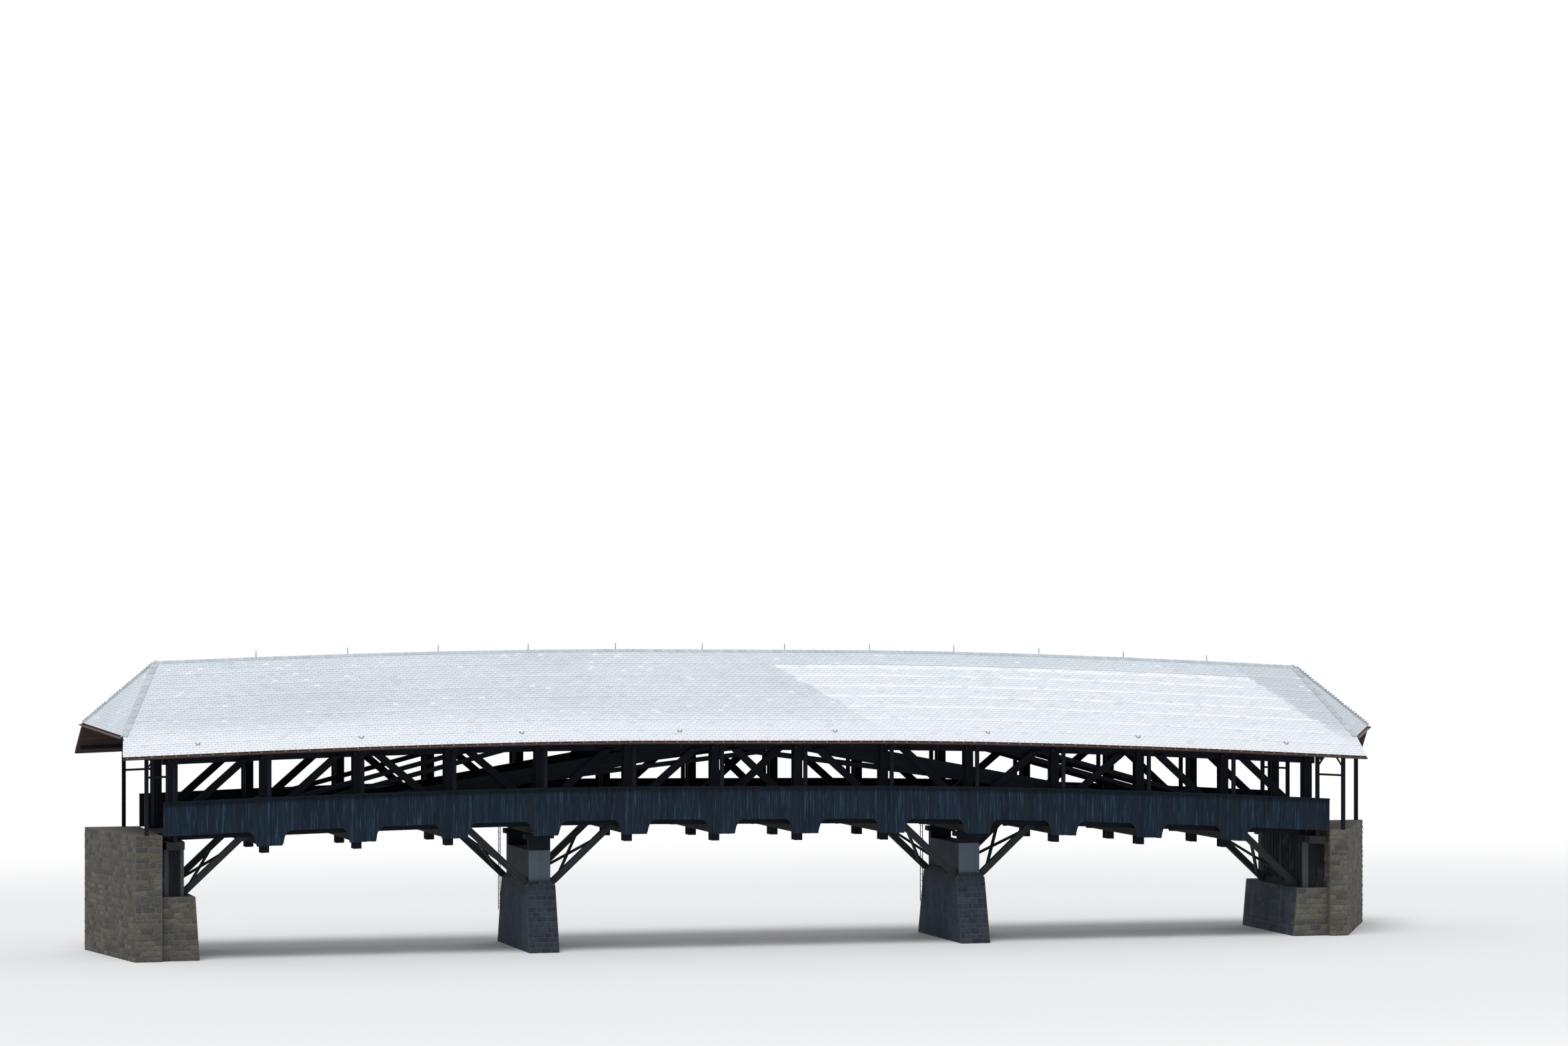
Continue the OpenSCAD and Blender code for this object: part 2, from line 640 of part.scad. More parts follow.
// Half-round trough section: offsets outward and down from the trough's inner lip
gutter_section = concat(
    [for (k = [0:gutter_sides]) let (a = 180 * k / gutter_sides)
        [gutter_r - gutter_r * cos(a), -gutter_r * sin(a)]],
    [for (k = [0:gutter_sides]) let (a = 180 - 180 * k / gutter_sides, r = gutter_r - gutter_wall)
        [gutter_r - r * cos(a), gutter_bead - r * sin(a)]]);
hook_drop = 30;
module eave_gutter(s) {
    xs = kinks(verge_x(-1, s), verge_x(1, s));
    rings = [for (x = xs) [for (p = gutter_section)
        [x, s * (eave_y - seat + p[0]), at(x, eave_rise) - hook_drop + p[1]]]];
    color("#8a5f55") loft(s > 0 ? reversed(rings) : rings);
}
module eave_gutters() {
    eave_gutter(near);
    eave_gutter(far);
}
module hip_gutter(d) {
    a = on_corner(d, near);
    b = on_corner(d, far);
    along = [b[0] - a[0], b[1] - a[1]] / norm([b[0] - a[0], b[1] - a[1]]);
    out = d < 0 ? [-along[1], along[0]] : [along[1], -along[0]];
    rings = [for (q = [a, b]) [for (p = gutter_section)
        [q[0] + out[0] * (p[0] - seat), q[1] + out[1] * (p[0] - seat), q[2] - hook_drop + p[1]]]];
    color("#8a5f55") loft(d > 0 ? rings : reversed(rings));
}
module hip_gutters() {
    hip_gutter(-1);
    hip_gutter(1);
}
module ridge_rods() color("silver") for (i = [1:bays - 1])
    translate([post_x[i], 0, at(post_x[i], ridge_rise) + cap_t - seat]) {
        cylinder(r = rod_r, h = rod_h, $fn = 16);
        translate([0, 0, rod_h - 2 * knob_r]) cylinder(r = knob_r, h = 2 * knob_r, $fn = 16);
    }

// Raking struts, on the pier seats and on the abutment ledges

strut_dir = [cos(strut_angle), sin(strut_angle)];
strut_side = [-sin(strut_angle), cos(strut_angle)];
pier_seat = [pier_w / 2 - seat_run / 2, -seat_fall / 2];
// On a ledge the foot is a wedge in the corner between the ledge and the housing
wedge = [(strut_h + 10) * sin(strut_angle), (strut_h + 10) * cos(strut_angle)];
wedge_seat = [housing_in, 0] + wedge / 2 - strut_dir * foot_t;
// Places outlines drawn from a seat's middle, with the strut pointing up to the right
module at_piers() for (i = [left_pier_i, right_pier_i], d = [-1, 1])
    translate([post_x[i], pier_top]) mirror([d < 0 ? 1 : 0, 0]) translate(pier_seat) children();
module at_ends() for (e = [[0, 1], [bays, -1]])
    translate([post_x[e[0]], ledge_z(e[0])]) mirror([e[1] < 0 ? 1 : 0, 0]) children();
module foot_outline() polygon([-strut_side * seat_l / 2, -strut_side * seat_l / 2 + strut_dir * foot_t,
                               strut_side * seat_l / 2 + strut_dir * foot_t, strut_side * seat_l / 2]);
strut_reach = main_bay + tab_w;
module strut_outline() polygon([strut_dir * foot_t - strut_side * strut_h / 2,
                                strut_dir * strut_reach - strut_side * strut_h / 2,
                                strut_dir * strut_reach + strut_side * strut_h / 2,
                                strut_dir * foot_t + strut_side * strut_h / 2]);
module under_chords() band(post_x[0] - tail, post_x[bays] + tail, -rail_z, chord_low);
// Where a strut's middle line from the seat at x, z meets the chord, going in direction d
function head_at(x, z, d) =
    let (a = x + d * (at(x, chord_low) - z) / tan(strut_angle))
    x + d * (at(a, chord_low) - z) / tan(strut_angle);
heads = concat(
    [for (i = [left_pier_i, right_pier_i], d = [-1, 1])
        [head_at(post_x[i] + d * pier_seat[0], pier_top + pier_seat[1], d), d]],
    [for (e = [[0, 1], [bays, -1]])
        [head_at(post_x[e[0]] + e[1] * wedge_seat[0], ledge_z(e[0]) + wedge_seat[1], e[1]), e[1]]]);
// The zone past a strut's head, which the head beam closes
module past_head(h) let (a = h[0], b = h[0] + h[1] * main_bay / 2)
    band(min(a, b), max(a, b), -main_bay / 2, 0);
module struts() color("#5a5d63") for (s = [near, far]) plate(s * truss_y, core_t)
    difference() {
        intersection() {
            union() {
                at_piers() strut_outline();
                at_ends() translate(wedge_seat) strut_outline();
            }
            under_chords();
        }
        for (h = heads) past_head(h);
    }
// Head beams under the chords and stringers, against the upper ends of the struts
module strut_heads() color("#5f5850") for (h = heads)
    cross_timber(h[0] + h[1] * head_s / 2, head_s, chord_low - head_s, chord_low, -foot_y, foot_y);
foot_y = truss_y + core_t / 2 + 5;
module strut_feet() color("#5f5850") plate(0, 2 * foot_y) {
    at_piers() foot_outline();
    at_ends() translate([housing_in, 0]) polygon([[0, 0], [wedge[0], 0], [0, wedge[1]]]);
}

lace_from = 300;
lace_to = 1600;
inner_face = truss_y - core_t / 2;
module lace(k) intersection() {
    translate([lace_from, -inner_face]) square([lace_to - lace_from, 2 * inner_face]);
    translate([(lace_from + lace_to) / 2, 0]) rotate(atan2(2 * inner_face, (lace_to - lace_from) * k))
        translate([-lace_to, -lace_w / 2]) square([2 * lace_to, lace_w]);
}
// The two bars of a cross lap each other, one above the other
module strut_lace(seat) translate([seat[0], 0, seat[1]]) rotate([0, -strut_angle, 0]) {
    linear_extrude(lace_t) lace(1);
    translate([0, 0, -lace_t - parting]) linear_extrude(lace_t) lace(-1);
}
module strut_bracing() color("#4f5257") {
    for (i = [left_pier_i, right_pier_i], d = [-1, 1])
        translate([post_x[i], 0, pier_top]) mirror([d < 0 ? 1 : 0, 0, 0]) strut_lace(pier_seat);
    for (e = [[0, 1], [bays, -1]])
        translate([post_x[e[0]], 0, ledge_z(e[0])]) mirror([e[1] < 0 ? 1 : 0, 0, 0]) strut_lace(wedge_seat);
}

// Posts, brackets and bars under the overhanging ends of the roof

// Each entry: end post index, direction outwards, side, distance out, whether a tie lies on the post
end_posts_at = [[0, -1, near, end_post_out, true], [0, -1, far, end_post_out, true],
                [bays, 1, near, end_post_out, true], [bays, 1, far, end_post_out, true],
                [bays, 1, far, corner_post_out, false]];
function bank_z(i, d) = at(post_x[i] + d * road_end, deck_top);
module end_posts() color("#544a42") for (e = end_posts_at) {
    x = post_x[e[0]] + e[1] * e[3];
    top = e[4] ? tie_low : plate_low;
    foot = bank_z(e[0], e[1]);
    plate(e[2] * outer_y, outer_t) polygon([
        [x - outer_w / 2, foot], [x + outer_w / 2, foot],
        [x + outer_w / 2, at(x + outer_w / 2, top)], [x - outer_w / 2, at(x - outer_w / 2, top)]]);
}
module end_ties() color("#4a4039") for (e = [[0, -1], [bays, 1]])
    cross_timber(post_x[e[0]] + e[1] * end_post_out, outer_w, tie_low, plate_low, -tie_end, tie_end);
// A bracket from the face of a post at x to the eave plate, in the direction k
module knee(x, k) {
    x0 = x + k * outer_w / 2;
    x1 = x0 + k * knee_s;
    x2 = x1 + k * knee_s / 3;
    polygon([[x0, at(x0, tie_low) - knee_s], [x0, at(x0, tie_low) - 4 * knee_s / 3],
             [x2, at(x2, plate_low)], [x1, at(x1, plate_low)]]);
}
module knees() color("#544a42") {
    for (e = [[0, -1], [bays, 1]], s = [near, far]) plate(s * outer_y, outer_t / 2) {
        knee(post_x[e[0]], e[1]);
        knee(post_x[e[0]] + e[1] * end_post_out, -e[1]);
    }
}
module end_bars() color("#544a42") for (e = [[0, -1], [bays, 1]], s = [near, far]) {
    a = post_x[e[0]] + e[1] * outer_w / 2;
    b = post_x[e[0]] + e[1] * (end_post_out - outer_w / 2);
    plate(s * outer_y, outer_t / 2) band(min(a, b), max(a, b), end_bar_rise, end_bar_rise + 50);
}

function beam_x(d, y) = hip_x(d, y) - d * hip_beam_in;
function beam_half(d) = hip_beam_s / 2 / cos(hip_angle(end_skew(d)));
// Height of a hip's plane, which passes through its three corners
function hip_z(d, x, y) =
    let (p = on_roof(ridge_end(d), 0), n = cross(on_corner(d, near) - p, on_corner(d, far) - p))
    p[2] - (n[0] * (x - p[0]) + n[1] * y) / n[2];
// A beam's outer edge is let into the underside of the hip
module hip_beams() color("#544a42") for (d = [-1, 1])
    slab([for (c = [[-1, near], [1, near], [1, far], [-1, far]])
              let (y = c[1] > 0 ? hip_far_y - hip_beam_in : hip_beam_in - hip_near_y)
              [beam_x(d, y) + c[0] * beam_half(d), y,
               hip_z(d, beam_x(d, y) + d * beam_half(d), y) - roof_t + seat]],
         [[3, 2, 1, 0]], [0, 1, 2, 3], hip_beam_s);

// Steel ladders on the left faces of the piers, past the far truss, up to the floor's edge

ladder_w = 190;
ladder_r = 10;
ladder_y = truss_y + core_t / 2 + 75;
ladder_out = 50;
ladder_low = 800;
rung_step = 150;
module bar_along_x(x0, x1, y, z) translate([x0, y, z]) rotate([0, 90, 0])
    cylinder(r = ladder_r * 0.7, h = x1 - x0, $fn = 12);
module ladder(i) {
    wall = post_x[i] - pier_w / 2;
    x = wall - ladder_out;
    beam = post_x[i] - post_w / 2 - cross_w;
    high = at(beam, cross_low + cross_h / 2) + rung_step / 2;
    color("#5a6068") {
        for (k = [0, 1]) {
            y = ladder_y + k * ladder_w;
            translate([x, y, ladder_low]) cylinder(r = ladder_r, h = high - ladder_low, $fn = 16);
            bar_along_x(x, wall + seat, y, ladder_low + rung_step);
            bar_along_x(x, beam + seat, y, high - rung_step / 2);
        }
        for (z = [ladder_low + rung_step / 2:rung_step:high - rung_step / 2])
            translate([x, ladder_y, z]) rotate([-90, 0, 0])
                cylinder(r = ladder_r * 0.7, h = ladder_w, $fn = 12);
    }
}
module ladders() {
    ladder(left_pier_i);
    ladder(right_pier_i);
}

piers();
pier_caps();
bearing_blocks();
abutments();
housings();
near_bottom_chord();
far_bottom_chord();
near_top_chord();
far_top_chord();
near_posts();
far_posts();
near_braces();
far_braces();
near_arch();
far_arch();
near_slim_arch();
far_slim_arch();
cross_beams();
stringers();
deck();
near_skirt();
far_skirt();
skirt_rails();
outer_posts();
tie_beams();
eave_plates();
rafters();
ridge_beam();
near_roof();
far_roof();
hips();
ridge_cap();
eave_gutters();
hip_gutters();
ridge_rods();
struts();
strut_feet();
strut_bracing();
strut_heads();
end_posts();
end_ties();
end_bars();
knees();
hip_beams();
ladders();
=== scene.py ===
"""Covered timber road bridge, a scale model at 1:2, dressed from its CAD frame.

Lengths are metres in the model. X runs along the bridge, Y across it with the near side at -Y, Z up.
Heights called drop and rise are measured from the top of the side boarding's rail, as in the CAD source.
"""
import math

import bmesh
import bpy
import numpy as np
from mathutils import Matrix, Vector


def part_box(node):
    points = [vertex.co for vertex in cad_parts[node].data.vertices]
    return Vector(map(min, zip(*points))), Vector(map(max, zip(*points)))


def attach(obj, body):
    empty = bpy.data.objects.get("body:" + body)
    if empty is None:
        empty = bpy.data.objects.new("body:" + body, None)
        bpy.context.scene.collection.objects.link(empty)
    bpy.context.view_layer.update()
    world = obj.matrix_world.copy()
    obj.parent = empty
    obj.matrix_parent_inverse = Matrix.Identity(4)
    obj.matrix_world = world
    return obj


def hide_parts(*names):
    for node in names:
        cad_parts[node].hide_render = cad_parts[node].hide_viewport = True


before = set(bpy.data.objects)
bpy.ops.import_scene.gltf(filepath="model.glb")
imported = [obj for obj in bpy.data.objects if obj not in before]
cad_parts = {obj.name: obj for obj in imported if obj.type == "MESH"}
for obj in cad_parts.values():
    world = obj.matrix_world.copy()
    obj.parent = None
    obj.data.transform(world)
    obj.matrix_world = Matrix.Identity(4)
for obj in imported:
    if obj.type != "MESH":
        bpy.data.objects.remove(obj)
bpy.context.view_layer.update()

# Camera
# A long lens from the left on the near side, a little above the roof,
# as found from the post lines, the rails and the ridge in the photograph.

LENS_MM, SENSOR_MM, SIGHT = 117.33, 36.0, 1000.0
CAMERA_AT = (-32.025, -120.36, 10.205)
CAMERA_YAW = math.radians(15.14)

camera_data = bpy.data.cameras.new("camera")
camera_data.lens = LENS_MM
camera_data.sensor_width = SENSOR_MM
camera_data.sensor_fit = "HORIZONTAL"
camera_data.clip_end = SIGHT
camera = bpy.data.objects.new("camera", camera_data)
camera.location = CAMERA_AT
camera.rotation_euler = (math.radians(90), 0, -CAMERA_YAW)
bpy.context.collection.objects.link(camera)
bpy.context.scene.camera = camera

# Studio
# A plain pale floor under the piers that turns white far from the bridge, a pale sky,
# and one broad soft lamp from the near left.

bpy.context.scene.view_settings.view_transform = "Standard"
FLOOR_HALF, FLOOR_FADE = 220.0, (17.0, 40.0)
AMBIENT, LAMP_STRENGTH = 0.56, 1.62
LAMP_SPREAD, LAMP_TILT, LAMP_TURN = math.radians(30), math.radians(20), math.radians(-28)
WHITE = (1, 1, 1, 1)


def srgb(red, green, blue):
    """A colour written as it looks on screen, 0 to 255, as linear RGBA."""
    c = np.array([red, green, blue]) / 255
    return (*np.where(c <= 0.04045, c / 12.92, ((c + 0.055) / 1.055) ** 2.4), 1.0)


class Wire:
    """A node socket with arithmetic: numbers through Math nodes, colours through Mix."""

    def __init__(self, tree, socket=None):
        self.tree, self.socket = tree, socket

    def plug(self, target, value):
        """Links a wire to a socket, or sets the socket's value."""
        if isinstance(value, Wire):
            self.tree.links.new(value.socket, target)
        else:
            target.default_value = value

    def node(self, kind, inputs=None, output=0, **settings):
        """Adds a node of a type: first its settings, then the values or links of its sockets."""
        node = self.tree.nodes.new(kind)
        for key, value in settings.items():
            setattr(node, key, value)
        for key, value in (inputs or {}).items():
            self.plug(node.inputs[key], value)
        return Wire(self.tree, node.outputs[output] if node.outputs else None)

    def math(self, operation, *values):
        """One Math node over values and wires."""
        return self.node("ShaderNodeMath", dict(enumerate(values)), operation=operation)

    def __add__(self, other): return self.math("ADD", self, other)
    def __radd__(self, other): return self.math("ADD", other, self)
    def __sub__(self, other): return self.math("SUBTRACT", self, other)
    def __rsub__(self, other): return self.math("SUBTRACT", other, self)
    def __mul__(self, other): return self.math("MULTIPLY", self, other)
    def __rmul__(self, other): return self.math("MULTIPLY", other, self)
    def __truediv__(self, other): return self.math("DIVIDE", self, other)
    def __rtruediv__(self, other): return self.math("DIVIDE", other, self)
    def __pow__(self, other): return self.math("POWER", self, other)
    def __mod__(self, other): return self.math("FLOORED_MODULO", self, other)
    def __abs__(self): return self.math("ABSOLUTE", self)

    def floor(self):
        """The whole number below."""
        return self.math("FLOOR", self)

    def clamp(self):
        """Held between 0 and 1."""
        return self.math("MINIMUM", self.math("MAXIMUM", self, 0.0), 1.0)

    def step(self, low, high):
        """0 below low, 1 above high, smooth between."""
        return self.node("ShaderNodeMapRange", {"Value": self, "From Min": low, "From Max": high},
                         interpolation_type="SMOOTHSTEP")

    def mix(self, a, b):
        """Colour a where this is 0 and colour b where it is 1, each a wire or as it looks on screen."""
        a, b = (c if isinstance(c, Wire) else srgb(*c) for c in (a, b))
        return self.node("ShaderNodeMix", {"Factor": self, "A": a, "B": b}, "Result", data_type="RGBA")

    def seen(self):
        """1 for rays to the camera, straight or by way of metal or glass, 0 for rays that bring light."""
        ray = self.node("ShaderNodeLightPath").socket.node
        camera, gloss, glass = (Wire(self.tree, ray.outputs[f"Is {word} Ray"])
                                for word in ("Camera", "Glossy", "Transmission"))
        return (camera + gloss + glass).clamp()


class Finish(Wire):
    """A new material: its Principled shader, its colour so far, and what its expressions start from."""

    def __init__(self, name, specular=0.2, metallic=0.0):
        self.material = bpy.data.materials.new(name)
        self.material.use_nodes = True
        super().__init__(self.material.node_tree)
        self.shader = self.tree.nodes["Principled BSDF"]
        self.shader.inputs["Specular IOR Level"].default_value = specular
        self.shader.inputs["Metallic"].default_value = metallic

    def place(self):
        """The place in the model, in metres."""
        return self.node("ShaderNodeTexCoord", output="Object")

    def along(self):
        """The piece's own UV map: metres along the timber and metres across it."""
        return self.node("ShaderNodeUVMap", uv_map="grain")

    def stored(self, name):
        """The number stored at the face's corners under a name."""
        return self.node("ShaderNodeAttribute", output="Fac", attribute_name=name)

    def split(self, vector=None):
        """The three parts of a vector, or of the place in the model."""
        parts = self.node("ShaderNodeSeparateXYZ", {"Vector": vector or self.place()}).socket.node
        return [Wire(self.tree, part) for part in parts.outputs]

    def join(self, x, y, z):
        """A vector from its three parts."""
        return self.node("ShaderNodeCombineXYZ", {"X": x, "Y": y, "Z": z})

    def noise(self, scale, detail=3.0, rough=0.55, over=None):
        """Fractal noise from 0 to 1 over the piece's own space, or over another vector."""
        inputs = {"Vector": over or self.place(), "Scale": scale, "Detail": detail, "Roughness": rough}
        return self.node("ShaderNodeTexNoise", inputs)

    def drawn_out(self, x, y, z, detail=4.0):
        """Noise over a space stretched by the caller, so that it makes streaks."""
        return self.noise(1.0, detail, over=self.join(x, y, z))

    def lay(self, share, colour):
        """Lays a colour over the colour so far, by a share from 0 to 1."""
        self.colour = share.mix(self.colour, colour)

    def finish(self, rough, height=None, depth=0.002):
        """Gives the shader its colour, its roughness and its relief, and returns the material."""
        self.plug(self.shader.inputs["Base Color"], self.colour)
        self.plug(self.shader.inputs["Roughness"], rough)
        if height is not None:
            bump = self.node("ShaderNodeBump", {"Height": height, "Distance": depth, "Strength": 1.0})
            self.plug(self.shader.inputs["Normal"], bump)
        return self.material


floor_mesh = bpy.data.meshes.new("floor")
corners = [(x * FLOOR_HALF, y * FLOOR_HALF, 0) for x, y in ((-1, -1), (1, -1), (1, 1), (-1, 1))]
floor_mesh.from_pydata(corners, [], [(0, 1, 2, 3)])
floor = bpy.data.objects.new("floor", floor_mesh)
bpy.context.collection.objects.link(floor)
paint = Finish("studio floor", 0.0)
paint.colour = srgb(232, 233, 235)
paint.finish(0.9)
floor_x, floor_y, _ = paint.split()
away = ((floor_x * 0.6) ** 2.0 + floor_y ** 2.0) ** 0.5
white = paint.node("ShaderNodeEmission", {"Color": WHITE, "Strength": 1.0})
blend = paint.node("ShaderNodeMixShader", {0: away.step(*FLOOR_FADE) * paint.seen(), 2: white})
blend.tree.links.new(paint.shader.outputs[0], blend.socket.node.inputs[1])
blend.tree.links.new(blend.socket, blend.tree.nodes["Material Output"].inputs["Surface"])
floor_mesh.materials.append(paint.material)

world = bpy.data.worlds.new("studio")
bpy.context.scene.world = world
world.use_nodes = True
sky = Wire(world.node_tree)
sky.tree.nodes.clear()
plain = sky.node("ShaderNodeBackground", {"Color": WHITE, "Strength": sky.seen() * (1 - AMBIENT) + AMBIENT})
sky.node("ShaderNodeOutputWorld", {"Surface": plain})

lamp_data = bpy.data.lights.new("soft lamp", "SUN")
lamp_data.energy = LAMP_STRENGTH
lamp_data.angle = LAMP_SPREAD
lamp = bpy.data.objects.new("soft lamp", lamp_data)
lamp.rotation_euler = (LAMP_TILT, 0, LAMP_TURN)
bpy.context.collection.objects.link(lamp)

# Camber
# The whole bridge bends over its length. The ridge cap's top line in the frame gives the post lines
# and the height of every level above or below the rail.

RIDGE_TOP, RIDGE_OVER = 3.227, (0.2, 0.1)
SAME = 0.001
LEFT_PIER, RIGHT_PIER, LAST_POST = 4, 9, 13


def read(parts, name, width, kind):
    """One attribute of all vertices, edges or loops of a mesh, a row of width numbers for each."""
    values = np.empty(len(parts) * width, kind)
    parts.foreach_get(name, values)
    return values.reshape(-1, width)


def points_of(mesh):
    """A mesh's points, (points, 3)."""
    return read(mesh.vertices, "co", 3, float)


cap_points = points_of(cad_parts["ridge_cap"].data)
knot_x = np.unique(np.round(cap_points[:, 0], 4))
knot_rail = np.array([cap_points[abs(cap_points[:, 0] - x) < SAME, 2].max() for x in knot_x]) - RIDGE_TOP
knot_slope = np.diff(knot_rail) / np.diff(knot_x)
post_x = knot_x.copy()
post_x[0] += RIDGE_OVER[0]
post_x[-1] -= RIDGE_OVER[1]


def at(x, height):
    """Height of a level at x: straight between post lines, and straight on past the ridge's ends."""
    start = knot_slope[0] * np.minimum(x - knot_x[0], 0)
    end = knot_slope[-1] * np.maximum(x - knot_x[-1], 0)
    return np.interp(x, knot_x, knot_rail) + start + end + height


# Piers
# Masonry shafts: the long faces are plastered and streaked by the river, the battered ends show squared
# rubble in low courses with wide joints of lime mortar.

PIER_W, PIER_FOOT_Y, PIER_TOP_Y, PIER_H = 0.725, 1.85, 1.35, 1.675
SEAT_RUN, SEAT_FALL = 0.0955, 0.1024
COURSE, STONE_L, STONE_PROUD, JOINT, SUNK, HAMMER = 0.125, 0.27, 0.014, 0.014, 0.002, 0.009
COURSE_WANDER, JOINT_WANDER, STONE_LEAST, SWELL_LEAST, SWELL_DRAWN = 0.3, 0.35, 0.3, 0.6, 0.7
SLOT_ROW, SLOT_STEP, SLOT_SHIFT, FORM_BOARD, GRAIN_SHIFT = 0.3, 0.34, 0.27, 0.145, (3.7, 1.3)
seeded, norm = np.random.default_rng, np.linalg.norm


def add_piece(name, mesh, material, replaces=()):
    """Adds a mesh as a piece that rides on the one body, with its material."""
    piece = bpy.data.objects.new(name, mesh)
    bpy.context.collection.objects.link(piece)
    mesh.materials.append(material)
    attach(piece, "root")
    if replaces:
        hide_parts(*replaces)
    return piece


def corner_points(mesh):
    """The number of the point at each face corner."""
    return read(mesh.loops, "vertex_index", 1, int)[:, 0]


def write_corners(mesh, name, values):
    """Stores one number at each face corner under a name."""
    mesh.attributes.new(name, "FLOAT", "CORNER").data.foreach_set("value", values.astype(np.float32))


def write_grain(mesh, points, grain, member):
    """UV map: each corner's distance along and across its own member, shifted so that no two match.

    grain is a pair of vectors, along and across, for all members or one a member; member numbers points.
    """
    corners = corner_points(mesh)
    owner = member[corners]
    axes = (np.broadcast_to(g, (owner.max() + 1, 3))[owner] for g in grain)
    along, across = ((points[corners] * axis).sum(1) for axis in axes)
    uv = np.stack([along + owner * GRAIN_SHIFT[0], across + owner * GRAIN_SHIFT[1]], 1)
    mesh.uv_layers.new(name="grain").data.foreach_set("uv", uv.astype(np.float32).ravel())


def members(name, points, faces, material, slot, tone=None, replaces=(), grain=None, smooth=False):
    """One piece of many like members, each with the same faces.

    points is (members, points, 3); faces is a list of arrays, one row a face, that number one member's
    points. tone is one number a member, or one a face of each member. grain is a pair of vectors, along
    a member and across it, for its UV map in metres.
    """
    n, m = points.shape[:2]
    base = np.arange(n)[:, None, None] * m
    flat = points.reshape(-1, 3)
    mesh = bpy.data.meshes.new(name)
    mesh.from_pydata(flat, [], [row for f in faces for row in (base + f).reshape(-1, f.shape[1]).tolist()])
    tone = np.zeros(n) if tone is None else np.asarray(tone)
    tone = np.broadcast_to(tone.reshape(n, -1), (n, sum(map(len, faces))))
    shares = np.split(tone, np.cumsum([len(f) for f in faces])[:-1], 1)
    write_corners(mesh, "tone", np.concatenate([np.repeat(s, f.shape[1]) for s, f in zip(shares, faces)]))
    if grain is not None:
        write_grain(mesh, flat, grain, np.repeat(np.arange(n), m))
    if smooth:
        mesh.polygons.foreach_set("use_smooth", np.ones(len(mesh.polygons), bool))
    add_piece(name, mesh, material, replaces)


def repaint(material, *nodes):
    """Gives CAD nodes that keep their own shape a finish."""
    for name in nodes:
        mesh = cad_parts[name].data
        mesh.materials.clear()
        mesh.materials.append(material)


def plastered_masonry():
    """Blue-grey render, dark stains down from the top, pits, upright slots in staggered rows, and paler
    lime mortar where the render breaks off towards the stones of the ends."""
    f = Finish("plastered masonry")
    x, y, z = f.split()
    cloud = f.noise(1.6, 5)
    blotch = f.noise(7, 5, 0.65)
    grit = f.noise(38, 5, 0.65)
    run = f.drawn_out(x * 6, y * 6, z * 0.7)
    mottle = cloud.step(0.3, 0.7) * 0.5 + blotch.step(0.3, 0.7) * 0.5
    f.colour = mottle.mix((35, 47, 61), (65, 78, 92))
    f.lay(run.step(0.5, 0.7) * 0.5, (66, 74, 81))
    f.lay((z + (run - 0.5) * 0.9).step(1.15, 1.75) * 0.6, (46, 46, 47))
    f.lay((1 - grit).step(0.56, 0.68) * 0.5, (30, 36, 42))
    f.lay(z.step(0.55, 0.15) * 0.45, (42, 56, 70))
    row = (z / SLOT_ROW).floor()
    shifted = (y + row * SLOT_SHIFT) / SLOT_STEP
    slot_y = (shifted % 1 - 0.5) * SLOT_STEP
    slot_z = (z / SLOT_ROW % 1 - 0.5) * SLOT_ROW
    slot = 1 - ((slot_y * slot_y + slot_z * slot_z * 0.22) ** 0.5).step(0.01, 0.014)
    slot = slot * f.noise(3.1, 0, over=f.join(row, shifted.floor(), 0)).step(0.42, 0.5)
    f.lay(slot * 0.85, (22, 25, 29))
    batter = (PIER_FOOT_Y - PIER_TOP_Y) / PIER_H
    break_off = (abs(y) + z * batter + (blotch - 0.5) * 0.22).step(1.73, 1.82)
    f.lay(break_off * 0.9, (grit * 0.6 + cloud * 0.4).mix((49, 56, 64), (79, 85, 91)))
    return f.finish(0.86 + grit * 0.1, grit * 0.5 + blotch * 0.7 + run * 0.3 - slot * 1.5, 0.009)


def squared_rubble(name, low, high, joint):
    """Each stone its own shade, rough from the hammer, clouded with lime; about one in four is bluer."""
    f = Finish(name)
    tone = f.stored("tone")
    grit = f.noise(30, 5)
    cloud = f.noise(2.1, 4)
    f.colour = (tone * 0.55 + grit.step(0.3, 0.7) * 0.45).mix(low, high)
    f.lay(cloud.step(0.45, 0.75) * 0.5, joint)
    f.lay((tone * 6.3 % 1).step(0.72, 0.8) * 0.5, (58, 66, 74))
    return f.finish(0.88, grit, 0.006)


